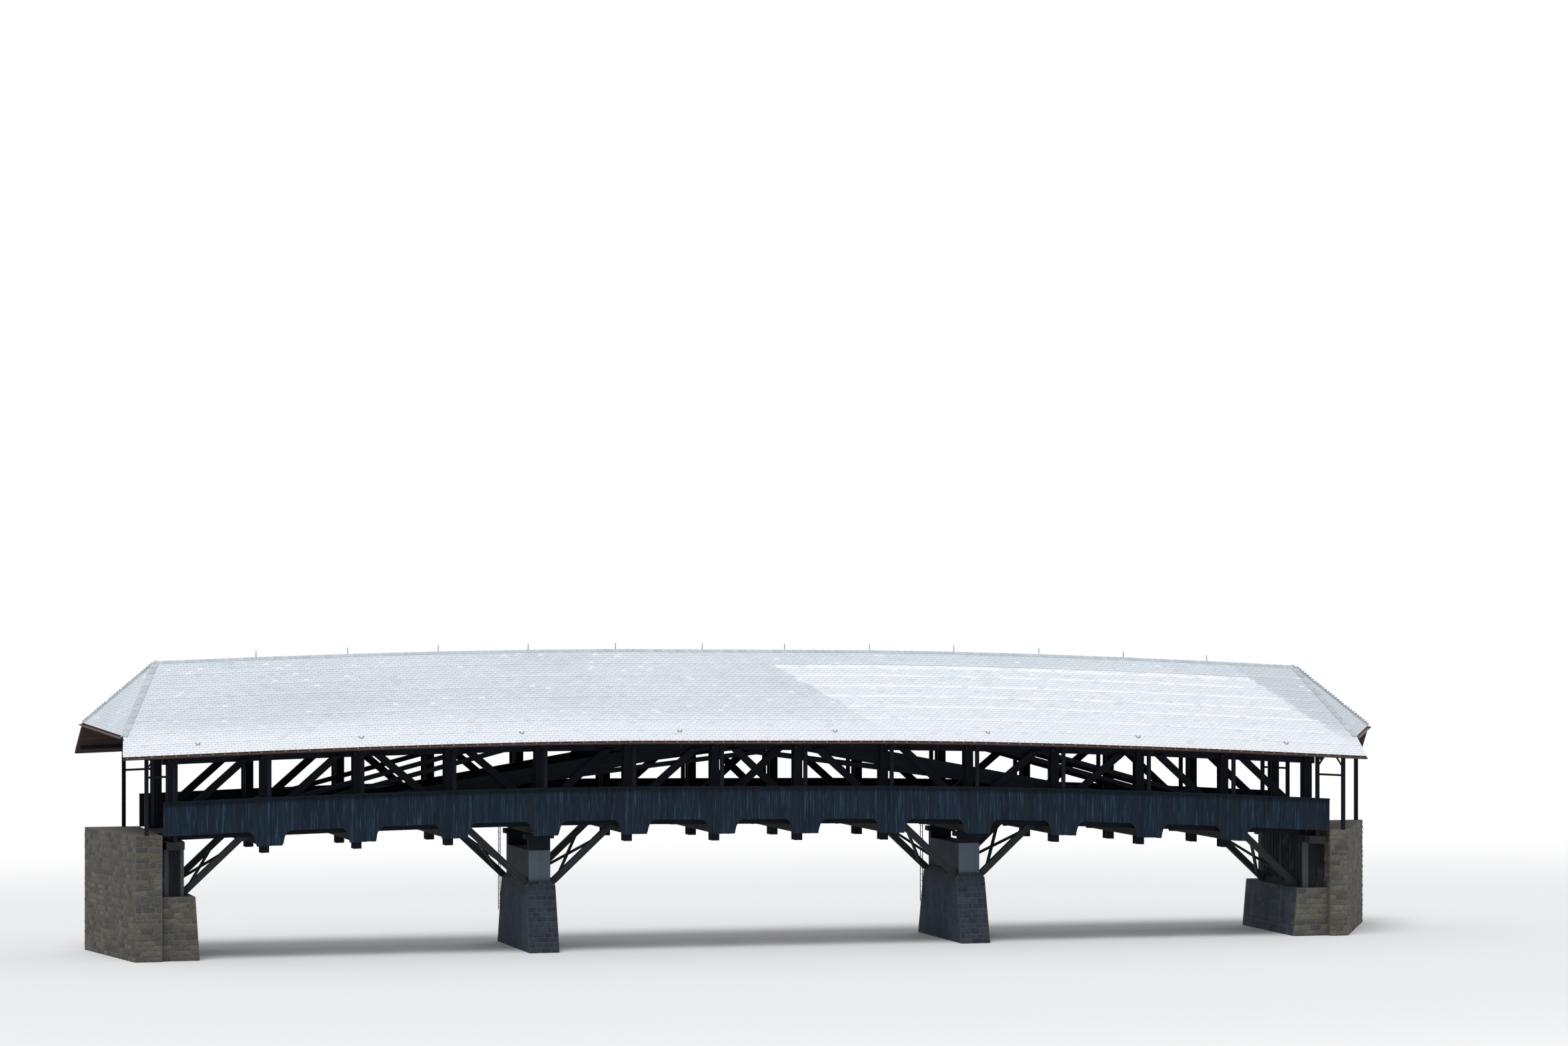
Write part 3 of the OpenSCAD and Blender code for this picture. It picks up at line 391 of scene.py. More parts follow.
def stones(name, walls, behind, material, seed):
    """Squared stones in level courses over four-cornered walls.

    A wall is its corners: foot left, foot right, top right, top left; behind is a point behind it. Each
    stone fills one cell of the straight interpolation between the corners, less its joint. Its face swells
    by STONE_PROUD * (1 - s^6) * (1 - t^6), with s and t from -1 to 1 across the stone, plus hammer marks.
    """
    draw = seeded(seed)
    walls = np.array(walls, float)
    cells = []
    for k, (a, b, c, d) in enumerate(walls):
        width, height = norm(b + c - a - d) / 2, norm(d + c - a - b) / 2
        rows, count = max(1, round(height / COURSE)), max(1, round(width / STONE_L))
        level = np.arange(rows + 1) / rows
        level[1:-1] += (draw.random(rows - 1) - 0.5) * COURSE_WANDER / rows
        side, bed = JOINT / 2 / width, JOINT / 2 / height
        for row in range(rows):
            cut = (np.arange(count) + 0.5 * (row % 2)) / count
            cut = np.clip(cut + (draw.random(count) - 0.5) * JOINT_WANDER / count, 0.0, 1.0)
            cut = cut[(cut > STONE_LEAST / count) & (cut < 1 - STONE_LEAST / count)]
            for low, high in zip([0.0, *cut], [*cut, 1.0]):
                cells.append((k, low + side, high - side, level[row] + bed, level[row + 1] - bed))
    wall, left, right, foot, top = np.array(cells).T
    corner = walls[wall.astype(int)]
    s = np.array([-1, -0.84, -0.3, 0.3, 0.84, 1.0])
    t = np.array([-1, -0.72, 0.0, 0.72, 1.0])
    t_grid, s_grid = np.meshgrid(t, s, indexing="ij")
    rim = (np.abs(s_grid) == 1) | (np.abs(t_grid) == 1)
    u, v = ((low[:, None, None] + (high - low)[:, None, None] * (grid + 1) / 2)[..., None]
            for low, high, grid in ((left, right, s_grid), (foot, top, t_grid)))
    a, b, c, d = (corner[:, k, None, None] for k in range(4))
    face = a * (1 - u) * (1 - v) + b * u * (1 - v) + c * u * v + d * (1 - u) * v
    out = np.cross(corner[:, 1] - corner[:, 0], corner[:, 3] - corner[:, 0])
    out /= norm(out, axis=1)[:, None]
    turned = (out * (corner.mean(1) - behind)).sum(1) < 0
    out[turned] *= -1
    full = SWELL_LEAST + SWELL_DRAWN * draw.random((len(cells), 1, 1))
    swell = STONE_PROUD * (1 - s_grid ** 6) * (1 - t_grid ** 6) * full
    marks = (draw.random(swell.shape) - 0.5) * HAMMER * ~rim
    face += (swell + marks - SUNK * rim)[..., None] * out[:, None, None]
    face[turned] = face[turned][:, :, ::-1]
    grid = np.arange(rim.size).reshape(rim.shape)
    quads = np.stack([grid[:-1, :-1], grid[:-1, 1:], grid[1:, 1:], grid[1:, :-1]], -1).reshape(-1, 4)
    members(name, face.reshape(len(cells), -1, 3), [quads], material, "masonry", draw.random(len(cells)))


repaint(plastered_masonry(), "piers")
pier_stone = squared_rubble("pier stone", (30, 36, 44), (57, 64, 73), (63, 70, 78))
shoulder = PIER_H - SEAT_FALL
shoulder_y = PIER_FOOT_Y + (PIER_TOP_Y - PIER_FOOT_Y) * shoulder / PIER_H
end_walls = []
for post in (LEFT_PIER, RIGHT_PIER):
    left, right = post_x[post] - PIER_W / 2, post_x[post] + PIER_W / 2
    for side in (-1, 1):
        foot, seat, top = ((side * y, z) for y, z in (
            (PIER_FOOT_Y, 0), (shoulder_y, shoulder), (PIER_TOP_Y, PIER_H)))
        end_walls.append([(left, *foot), (right, *foot), (right, *seat), (left, *seat)])
        end_walls.append([(left, *seat), (right, *seat), (right - SEAT_RUN, *top), (left + SEAT_RUN, *top)])
stones("pier_end_stones", end_walls, (0, 0, 0), pier_stone, 5)


def cast_concrete():
    """Smooth cast faces, long faces painted darker than the ends as shade, dark runs and faint form board
    marks.
    """
    f = Finish("cast concrete", 0.25)
    x, y, z = f.split()
    cloud = f.noise(1.8, 4)
    grit = f.noise(70, 4)
    run = f.drawn_out(x * 9, y * 9, z * 0.5)
    shaded_long_face = 1 - abs(y).step(1.268, 1.272)
    f.colour = cloud.mix((74, 87, 100), (97, 109, 119))
    # painted shade: the long faces are laid darker than the ends
    f.lay(shaded_long_face * 0.75, (56, 64, 72))
    f.lay(run.step(0.5, 0.7) * (shaded_long_face * 0.5 + 0.2), (52, 58, 64))
    seam = (abs(z / FORM_BOARD % 1 - 0.5) - 0.47).step(0, 0.02)
    f.lay(seam * 0.12, (60, 66, 72))
    return f.finish(0.8 + grit * 0.1, grit * 0.5 - seam * 0.4, 0.0025)


repaint(cast_concrete(), "pier_caps")

# Abutments
# A ledge for the struts with a plastered river face, and behind it the block that carries the road;
# their sides are brown rubble.

LEDGE_DROP, ABUTMENT_Y, FACE_IN, FACE_BATTER = 2.235, 1.825, 0.48, 0.1
ROAD_END, BANK_Y, ROAD_DROP, HOUSING_IN, HOUSING_Y = 0.32, 1.985, 0.78, 0.24, 1.575
BANK_FROM = (post_x[-1] - post_x[0]) / 2 + ROAD_END
BANK_HEART, BLOCK_H, BLOCK_L, BLOCK_SHIFT = (0.7, 0.5), 0.135, 0.31, 0.43


def ledge_and_bank():
    """Blue-grey render on the ledges, and beyond them mortar and packed stone dust on the bank blocks."""
    f = Finish("abutment render")
    x, y, z = f.split()
    cloud = f.noise(1.1, 4)
    grit = f.noise(42, 5)
    run = f.drawn_out(x * 6, y * 6, z * 0.7)
    bank = abs(x - (post_x[0] + post_x[-1]) / 2).step(BANK_FROM - 0.01, BANK_FROM)
    f.colour = cloud.step(0.3, 0.7).mix((50, 60, 71), (68, 78, 88))
    f.lay(run.step(0.55, 0.72) * 0.6, (90, 97, 104))
    f.lay((1 - run).step(0.58, 0.74) * 0.6, (36, 43, 50))
    line = 1 - abs(z - 0.2 - cloud * 0.03).step(0.004, 0.012)
    f.lay(line * 0.35, (110, 114, 116))
    row = (z / BLOCK_H).floor()
    bed = (abs(z / BLOCK_H % 1 - 0.5) - 0.45).step(0, 0.03)
    shifted = y / BLOCK_L + row * BLOCK_SHIFT
    perpend = (abs(shifted % 1 - 0.5) - 0.475).step(0, 0.015)
    block = f.noise(2.7, 0, over=f.join(row, shifted.floor(), 0))
    f.lay(block.step(0.4, 0.65) * 0.35, (84, 93, 102))
    f.lay((bed + perpend).clamp() * grit.step(0.35, 0.6) * 0.7, (30, 37, 44))
    side = abs(y).step(ABUTMENT_Y - 0.06, ABUTMENT_Y - 0.03)
    f.lay((bank + side).clamp(), (grit * 0.7 + cloud * 0.3).mix((78, 75, 70), (118, 114, 106)))
    return f.finish(0.86 + grit * 0.1, grit * 0.5 + run * 0.3, 0.005)


def upright_wall(start, end, low, high):
    """A wall's corners over the line from start to end, each (x, y), between two heights."""
    return [(*start, low), (*end, low), (*end, high), (*start, high)]


repaint(ledge_and_bank(), "abutments")
bank_stone = squared_rubble("bank stone", (66, 64, 60), (112, 107, 99), (122, 119, 112))
abutment_points = points_of(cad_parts["abutments"].data)
for post, d, name in ((0, -1, "left"), (LAST_POST, 1, "right")):
    x = post_x[post]
    behind = x + d * ROAD_END
    ledge, road = at(x, -LEDGE_DROP), at(behind, -ROAD_DROP)
    walls, backs = [], []
    for side in (-1, 1):
        face_y, bank_y = side * ABUTMENT_Y, side * BANK_Y
        walls.append([(x - d * (FACE_IN + FACE_BATTER), face_y, 0), (behind, face_y, 0),
                      (behind, face_y, ledge), (x - d * FACE_IN, face_y, ledge)])
        own = abutment_points[abs(abutment_points[:, 1] - bank_y) < SAME, 0]
        backs.append(own[np.argmax(own * d)])
        walls.append(upright_wall((behind, bank_y), (backs[-1], bank_y), 0, road))
        walls.append(upright_wall((behind, side * HOUSING_Y), (behind, bank_y), ledge, road))
    walls.append(upright_wall((backs[0], -BANK_Y), (backs[1], BANK_Y), 0, road))
    stones(name + "_bank_stones", walls, (x + d * BANK_HEART[0], 0, BANK_HEART[1]), bank_stone, 7 + d)

# Trusses and roof frame
# Hewn spruce that has darkened under the roof for a century, its colours painted nearer black and bluer
# as the shade there: long checks, streaks and a dusty cool bloom.
# Each truss has chords, clasping posts, braces and the long arch timbers that climb over the piers.

WELD, FLAT, SOFT_EDGE, SOFT_FROM = 1e-5, 0.004, 0.004, math.radians(30)


def timber(name, dark, light, bloom, jointed=False):
    """Fibres run along U: noise stretched along the timber for grain, wide noise for staining.

    A jointed timber is two beams one on the other: a line of painted shade follows its middle, in the joint.
    """
    f = Finish(name, 0.15)
    u, v, _ = f.split(f.along())
    tone = f.stored("tone")
    fibre = f.drawn_out(u * 1.2, v * 55, tone * 9)
    check = f.drawn_out(u * 0.9, v * 30, tone * 5 + 2, 2).step(0.6, 0.72)
    stain = f.noise(0.9, 3)
    f.colour = (fibre.step(0.25, 0.75) * 0.6 + tone * 0.4).clamp().mix(dark, light)
    f.lay(stain.step(0.48, 0.72) * 0.5, bloom)
    # a jointed timber gets a painted shade line along its middle, for the joint between its beams
    if jointed:
        check = (check + 1 - abs(f.stored("middle")).step(0.003, 0.006)).clamp()
    f.lay(check * 0.65, (12, 12, 13))
    return f.finish(0.72 + fibre * 0.2, fibre - check * 0.9, 0.003)


# painted shade: truss and arch colours are near black and cool blue, darker than the aged wood alone
truss_wood = timber("truss timber", (7, 11, 17), (28, 33, 42), (20, 30, 44))
arch_wood = timber("arch timber", (7, 11, 17), (28, 33, 42), (20, 30, 44), True)
floor_wood = timber("floor timber", (31, 30, 30), (63, 59, 56), (52, 57, 62))
strut_wood = timber("strut timber", (27, 30, 34), (62, 64, 67), (56, 69, 82))


def timbers(node, material):
    """A copy of a node's timbers with softened edges, a grain that runs along each one, and its own tone.

    A solid is what edges join: every point takes the lowest number at either end of its edges until none
    changes. Its long direction is the strongest axis of its points; the UV map measures along it and
    across it, and middle is the height over its middle.
    """
    work = bmesh.new()
    work.from_mesh(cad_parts[node].data)
    bmesh.ops.remove_doubles(work, verts=work.verts, dist=WELD)
    bmesh.ops.dissolve_limit(work, angle_limit=FLAT, verts=work.verts, edges=work.edges)
    mesh = bpy.data.meshes.new("dressed_" + node)
    work.to_mesh(mesh)
    work.free()
    points = points_of(mesh)
    a, b = read(mesh.edges, "vertices", 2, int).T
    group = np.arange(len(points))
    while True:
        low = np.minimum(group[a], group[b])
        joined = group.copy()
        np.minimum.at(joined, a, low)
        np.minimum.at(joined, b, low)
        joined = joined[joined]
        if (joined == group).all():
            break
        group = joined
    member = np.unique(group, return_inverse=True)[1]
    axes, middle = [], np.zeros(len(points))
    for k in range(member.max() + 1):
        own = points[member == k]
        axes.append(np.linalg.svd(own - own.mean(0), full_matrices=False)[2])
        height = own @ axes[k][1]
        middle[member == k] = height - (height.max() + height.min()) / 2
    axes = np.array(axes)
    write_grain(mesh, points, (axes[:, 0], axes[:, 1] + axes[:, 2]), member)
    corners = corner_points(mesh)
    tone = seeded(len(node)).random(len(axes))
    write_corners(mesh, "tone", tone[member[corners]])
    write_corners(mesh, "middle", middle[corners])
    piece = add_piece("dressed_" + node, mesh, material, (node,))
    soften = piece.modifiers.new("softened edges", "BEVEL")
    soften.width = SOFT_EDGE
    soften.segments = 1
    soften.limit_method = "ANGLE"
    soften.angle_limit = SOFT_FROM


for wood, slot, nodes in (
        (truss_wood, "truss_timber", """near_bottom_chord far_bottom_chord near_top_chord far_top_chord
            near_posts far_posts near_braces far_braces near_slim_arch far_slim_arch outer_posts tie_beams
            eave_plates rafters ridge_beam end_posts end_ties end_bars knees hip_beams"""),
        (arch_wood, "truss_timber", "near_arch far_arch"),
        (floor_wood, "floor_timber", "cross_beams stringers"),
        (truss_wood, "floor_timber", "skirt_rails"),
        (strut_wood, "strut_timber", "struts strut_feet strut_bracing strut_heads"),
        (truss_wood, "strut_timber", "bearing_blocks")):
    for node in nodes.split():
        timbers(node, wood)

# Joints of the trusses
# Iron bolts with square washers and six-sided nuts through the clasping posts at both chords, and oak
# keys let into the joint between the two beams of each arch timber.

TRUSS_Y, CORE_T, POST_T = 1.15, 0.15, 0.075
CHORD_MIDDLES, BOLT_SPREAD, BOLT_STAGGER = (-0.825, 0.9275), 0.055, 0.03
WASHER, WASHER_OUT, NUT_SIDES, NUT_R, NUT_T, NUT_OUT = (0.046, 0.046, 0.006), 0.002, 6, 0.014, 0.011, 0.004
ARCH_H, ARCH_HEEL, ARCH_BAYS, CHORD_TOP, CHORD_RISE = 0.355, 0.65, 5, -0.7, 0.825
KEY_L, KEY_H, KEY_STEP, KEY_PROUD = 0.11, 0.075, 0.62, 0.006
KEY_FIRST, KEY_LAST, KEY_CLEAR = 1.4, 0.3, 0.19


def blocks(centre, along, up, out, size):
    """Boxes from centre points: half a size each way along three unit vectors, as (boxes, 8, 3) points.

    A box is numbered foot ring then top ring, both anticlockwise from above.
    """
    signs = np.array([(x, y, z) for z in (-1, 1) for x, y in ((-1, -1), (1, -1), (1, 1), (-1, 1))]) / 2
    axes = np.stack([np.broadcast_to(a, centre.shape) for a in (along, up, out)], 1)
    steps = np.broadcast_to(signs * size, (len(centre), 8, 3))
    return centre[:, None] + np.einsum("nkj,njd->nkd", steps, axes)


def circle(sides):
    """Cosine and sine of equal turns round a full circle, (sides, 1) each."""
    turn = np.arange(sides)[:, None] * 2 * math.pi / sides
    return np.cos(turn), np.sin(turn)


def skin(rings, sides):
    """Faces of a round bar numbered ring after ring: its sides, then its two ends."""
    k, ring = np.arange(sides), np.arange(rings - 1)[:, None] * sides
    after = (k + 1) % sides
    quads = np.stack([ring + k, ring + after, ring + sides + after, ring + sides + k], -1).reshape(-1, 4)
    return [quads, np.array([k[::-1], (rings - 1) * sides + k])]


# A box is a bar of four sides: its ends come first, then its sides.
BLOCK_FACES = [np.concatenate(skin(2, 4)[::-1])]


def iron():
    """Nearly black iron with rust in clouds and a skin pitted by the hammer."""
    f = Finish("forged iron", 0.5, 0.6)
    cloud = f.noise(14, 4)
    grit = f.noise(160, 3)
    f.colour = cloud.step(0.4, 0.7).mix((40, 38, 38), (84, 62, 50))
    return f.finish(0.55 + grit * 0.25, grit, 0.0008)


forged_iron = iron()
bolts = np.array([(x + k * BOLT_SPREAD, side * TRUSS_Y + face * (CORE_T / 2 + POST_T),
                   at(x, level) + k * BOLT_STAGGER, face)
                  for x in post_x for side in (-1, 1) for face in (-1, 1)
                  for level in CHORD_MIDDLES for k in (-1, 1)])
bolt_at, face = bolts[:, :3], bolts[:, 3:]
outward, forward = face * (0, 1, 0), face * (1, 0, 0)
upright = np.cross(outward, forward)
washers = blocks(bolt_at + outward * WASHER_OUT, forward, upright, outward, WASHER)
members("bolt_washers", washers, BLOCK_FACES, forged_iron, "steel")
cos, sin = circle(NUT_SIDES)
hexagon = cos * forward[:, None] + sin * upright[:, None]
nut_foot = bolt_at[:, None] + hexagon * NUT_R + outward[:, None] * NUT_OUT
nuts = np.hstack([nut_foot, nut_foot + outward[:, None] * NUT_T])
nut_sides, nut_ends = skin(2, NUT_SIDES)
members("bolt_nuts", nuts, [nut_sides, nut_ends[1:]], forged_iron, "steel")

key_at, key_dir = [], []
for start, d in ((0, 1), (LAST_POST, -1)):
    heel, head = post_x[start] + d * ARCH_HEEL, post_x[start + d * ARCH_BAYS]
    p, q = np.array([heel, at(heel, CHORD_TOP)]), np.array([head, at(head, CHORD_RISE)])
    length = norm(q - p)
    run = (q - p) / length
    down = np.array([run[1], -run[0]]) * d
    for step in np.arange(KEY_FIRST, length - KEY_LAST, KEY_STEP):
        spot = p + run * step + down * ARCH_H / 2
        if np.abs(spot[0] - post_x).min() > KEY_CLEAR:
            key_at += [(spot[0], side * TRUSS_Y, spot[1]) for side in (-1, 1)]
            key_dir += [(run[0], 0.0, run[1])] * 2
key_at, key_dir = np.array(key_at), np.array(key_dir)
key_out = (0, 1, 0)
keys = blocks(key_at, key_dir, np.cross(key_out, key_dir), key_out, (KEY_L, KEY_H, CORE_T + 2 * KEY_PROUD))
members("arch_keys", keys, BLOCK_FACES, truss_wood, "truss_timber",
        seeded(3).random(len(keys)), (), (key_out, key_dir))

# Deck
# Planks laid side by side across the stringers, sawn, worn grey by wheels,
# with narrow open joints.

PLANK_W, PLANK_GAP, PLANK_T, PLANK_WORN, DECK_TOP = 0.125, 0.006, 0.05, 0.003, -0.78


def prisms(first, second, turned=False):
    """Points of prisms from one ring to another, both (prisms, points, 3), and their faces.

    The first ring is anticlockwise seen from outside, so its turned copy closes the other end. Turned
    prisms have clockwise rings, so the two rings change places.
    """
    if turned:
        first, second = second, first
    m = first.shape[1]
    k = np.arange(m)
    faces = [np.array([k, m + k[::-1]]), np.stack([k, k + m, (k + 1) % m + m, (k + 1) % m], 1)]
    return np.hstack([first, second]), faces


def cross_rings(a, b, low, high, y0, y1):
    """Rings in X and Z for bars that lie across the bridge, from y0 to y1."""
    x = np.stack([a, b, b, a], 1)
    z = np.stack([at(a, low), at(b, low), at(b, high), at(a, high)], 1)
    return [np.stack([x, np.full_like(x, y), z], 2) for y in (y0, y1)]


low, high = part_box("deck")
count = int((high.x - low.x) / PLANK_W)
edge = np.linspace(low.x, high.x, count + 1)
draw = seeded(11)
plank_top = DECK_TOP - draw.random(count) * PLANK_WORN
planks = prisms(*cross_rings(edge[:-1] + PLANK_GAP / 2, edge[1:] - PLANK_GAP / 2,
                             DECK_TOP - PLANK_T, plank_top, low.y, high.y))
members("deck_planks", *planks, floor_wood, "floor_timber", draw.random(count), ("deck",),
        ((0, 1, 0), (1, 0, 0.6)))

# Side boarding
# Upright spruce boards nailed to rails on the outer posts, lapped over one another and weathered blue
# grey, with a darker cover board beside each tab; their feet follow the curved tabs over the beam ends.
# Their colours are painted darker than the wood as the shade under the eaves, and their inner faces
# near black as painted shade.

BOARD_W, BOARD_LAP, BOARD_WANDER, BOARD_RAGGED = 0.1, 0.008, 0.024, 0.008
SKIRT_DROP, TAB_DROP, TAB_W, CURVE_W, SKIRT_TOP = 0.8, 1.145, 0.64, 0.2, -0.04
COVER_BACK, COVER_HALF, STRIP_DROP, STRIP_H, STRIP_CUT = 0.33, 0.06, -0.078, 0.028, 0.001
INNER_BOARD, OUTER_BOARD, COVER_BOARD, STRIP = (0.0, 0.009), (0.007, 0.017), (0.015, 0.02), (0.017, 0.03)
COVER_TONE, INSIDE_SHADE_TONE = 1.5, 2.0


def skirt_foot(x):
    """Lower edge of the boarding below the rail: flat tabs at the inner post lines with elliptic corners."""
    off = np.abs(x[..., None] - post_x[1:-1]).min(-1) - TAB_W / 2
    t = np.clip(off / CURVE_W, 0, 1)
    return -TAB_DROP + (TAB_DROP - SKIRT_DROP) * np.sqrt(1 - (1 - t) ** 2) * (off > 0)


def weathered(name, base, streak, dark, brown):
    """Upright boards: one tone each, narrow pale rain streaks, single boards browner from 0.9; over 1.2 a
    cover board, 2 an inner face painted near black as the shade inside the bridge."""
    f = Finish(name, 0.15)
    u, v, _ = f.split(f.along())
    tone = f.stored("tone")
    fibre = f.drawn_out(u * 2, v * 90, tone * 7)
    rain = f.drawn_out(u * 1.7, v * 30, tone * 13)
    cloud = f.noise(1.4, 3)
    f.colour = (tone.clamp() * 0.6 + fibre * 0.3 + cloud * 0.15).clamp().mix(dark, base)
    f.lay(rain.step(0.5, 0.7) * 0.75, streak)
    f.lay((1 - rain).step(0.56, 0.72) * 0.45, dark)
    f.lay(tone.step(1.2, 1.4) * (1 - tone.step(1.7, 1.9)) * 0.65, brown)
    f.lay(tone.step(0.9, 0.92) * (1 - tone.step(1, 1.1)) * 0.6, brown)
    f.lay(cloud.step(0.56, 0.7) * 0.35, brown)
    # painted shade: inner faces, tone 2, laid near black
    f.lay(tone.step(1.7, 1.9) * 0.8, (24, 24, 26))
    return f.finish(0.8 + fibre * 0.15, fibre, 0.002)


# painted shade: the board colours are set darker than the weathered wood, for the shade under the eaves
side_wood = weathered("side boards", (31, 46, 63), (55, 74, 94), (17, 27, 39), (26, 32, 40))
covers = post_x[1:] - COVER_BACK
for side, node in ((-1, "near_skirt"), (1, "far_skirt")):
    low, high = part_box(node)
    inner_y = min(abs(low.y), abs(high.y))
    draw = seeded(21 + side)
    count = int((high.x - low.x) / BOARD_W)
    edge = np.linspace(low.x, high.x, count + 1)
    edge[1:-1] += (draw.random(count - 1) - 0.5) * BOARD_WANDER
    outer = np.arange(count) % 2 == 0
    a = np.append(np.clip(edge[:-1] - BOARD_LAP * outer, low.x, high.x), covers - COVER_HALF)
    b = np.append(np.clip(edge[1:] + BOARD_LAP * outer, low.x, high.x), covers + COVER_HALF)
    depth = np.where(outer[:, None], OUTER_BOARD, INNER_BOARD)
    back, face = np.concatenate([depth, np.full((len(covers), 2), COVER_BOARD)]).T[..., None]
    tone = np.append(draw.random(count), np.full(len(covers), COVER_TONE))
    foot_x = a[:, None] + (b - a)[:, None] * np.linspace(0, 1, 5)
    foot_z = np.maximum(at(foot_x, skirt_foot(foot_x)) + draw.random((len(a), 1)) * BOARD_RAGGED, low.z)
    top_x = np.stack([b, a], 1)
    x, z = np.hstack([foot_x, top_x]), np.hstack([foot_z, at(top_x, SKIRT_TOP)])
    front, rear = (np.stack([x, side * (inner_y + y) + 0 * x, z], 2) for y in (face, back))
    tones = np.repeat(tone[:, None], 2 + x.shape[1], 1)
    # the inner face of each board takes the tone of painted shade
    tones[:, int(side < 0)] = INSIDE_SHADE_TONE
    members(node + "_boards", *prisms(front, rear, side > 0), side_wood, "weathered_boards", tones, (node,),
            ((0, 0, 1), (1, 1, 0)))
    a, b = np.append(low.x, post_x[1:-1]) + STRIP_CUT, np.append(post_x[1:-1], high.x) - STRIP_CUT
    strips = prisms(*cross_rings(a, b, STRIP_DROP - STRIP_H, STRIP_DROP,
                                 *sorted(side * (inner_y + y) for y in STRIP)))
    members(node + "_cover_strips", *strips, truss_wood, "weathered_boards", draw.random(len(a)), (),
            ((1, 0, 0), (0, 1, 1)))

# Nailing rails
# Sawn rails from one outer post to the next, at the foot and at mid height of the side boarding,
# whose boards are nailed to them.

RAIL_LEVELS, RAIL_Y, RAIL_H, RAIL_HALF, RAIL_CUT = (-0.74, -0.42), 1.955, 0.06, 0.015, 0.045
a, b = post_x[:-1] + RAIL_CUT, post_x[1:] - RAIL_CUT
for level in RAIL_LEVELS:
    for side, word in ((-1, "near"), (1, "far")):
        rails = prisms(*cross_rings(a, b, level, level + RAIL_H, side * RAIL_Y - RAIL_HALF,
                                    side * RAIL_Y + RAIL_HALF))
        members(f"nailing_rails_{word}_{abs(int(level * 100))}", *rails, floor_wood, "floor_timber",
                np.linspace(0.2, 0.8, len(a)), (), ((1, 0, 0), (0, 1, 1)))

# Housings
# Dark upright boards round the bearings on the ledges, every other one set back, with a paler squared
# post at each river corner.

HOUSE_BOARD_W, HOUSE_T, CHORD_LOW, CROSS_LOW = 0.105, 0.03, -0.95, -1.13
SET_BACK, HOUSE_BOARD_T, SIDE_BOARDS, CORNER_POST, CORNER_PROUD = 0.008, 0.022, 5, 0.075, 0.006
house_wood = weathered("housing boards", (36, 39, 43), (52, 56, 60), (24, 26, 30), (92, 96, 100))
boxes, tones = [], []
draw = seeded(41)
for post, d in ((0, -1), (LAST_POST, 1)):
    river, behind = post_x[post] - d * HOUSING_IN, post_x[post] + d * ROAD_END
    edge = np.linspace(-HOUSING_Y, HOUSING_Y, round(2 * HOUSING_Y / HOUSE_BOARD_W) + 1)
    for k, (a, b) in enumerate(zip(edge[:-1], edge[1:])):
        front = river + d * SET_BACK * (k % 2)
        boxes.append((front, front + d * HOUSE_BOARD_T, a, b, CHORD_LOW))
    edge = np.linspace(river + d * HOUSE_T, behind, SIDE_BOARDS + 1)
    for side in (-1, 1):
        for k, (a, b) in enumerate(zip(edge[:-1], edge[1:])):
            face = side * (HOUSING_Y - SET_BACK * (k % 2))
            boxes.append((a, b, face - side * HOUSE_BOARD_T, face, CROSS_LOW))
    tones += list(draw.random(len(boxes) - len(tones)))
    for side in (-1, 1):
        corner = side * (HOUSING_Y - CORNER_POST + CORNER_PROUD)
        boxes.append((river - d * CORNER_PROUD, river + d * CORNER_POST,
                      corner, corner + side * CORNER_POST, CROSS_LOW))
        tones.append(COVER_TONE)
boxes = np.array(boxes)
x0, x1 = np.sort(boxes[:, :2]).T
y0, y1 = np.sort(boxes[:, 2:4]).T
ledge_z = np.where(x0 < 0, at(post_x[0], -LEDGE_DROP), at(post_x[-1], -LEDGE_DROP))
foot = np.stack([x0, x1, x1, x0, y0, y0, y1, y1, *[ledge_z] * 4]).reshape(3, 4, -1).T
top = foot.copy()
top[:, :, 2] = at(foot[:, :, 0], boxes[:, 4:])
members("housing_boards", np.hstack([foot, top]), BLOCK_FACES, house_wood, "weathered_boards",
        tones, ("housings",), ((0, 0, 1), (1, 1, 0)))

# Roof
# Boarded slopes under small flat tiles laid in half bond, each tile a thin wedge that laps the one below;
# the tiles of a hip lie in courses parallel to its lower edge, narrowing to its top.

TILE_W, TILE_STEP, TILE_T, TILE_GAP = 0.15, 0.07, 0.007, 0.006
TILE_LAP, TILE_LEAST, TILE_BED, TILE_TIP = 1.6, 0.02, 0.0006, 0.002
THIN, THICK_DRAWN, THICK_LIFTED, TONE_BELOW_ONE = 0.85, 0.3, 0.35, 0.999
RIDGE_RISE, EAVE_RISE, EAVE_Y = 3.215, 1.095, 2.23
ROOF_FALL = (RIDGE_RISE - EAVE_RISE) / EAVE_Y
SLOPE_L = math.hypot(EAVE_Y, RIDGE_RISE - EAVE_RISE)
LEFT_RAKE, LEFT_EDGE, RIGHT_RAKE, RIGHT_EDGE = 1.557, 10.66, 1.343, 20.88
SHADED_EDGE_TONE, SADDLE_TONE, ROOF_BOARD_W, ROOF_BOARD_L, ROOF_BOARD_SHIFT = 2.1, 3.0, 0.112, 2.4, 0.83


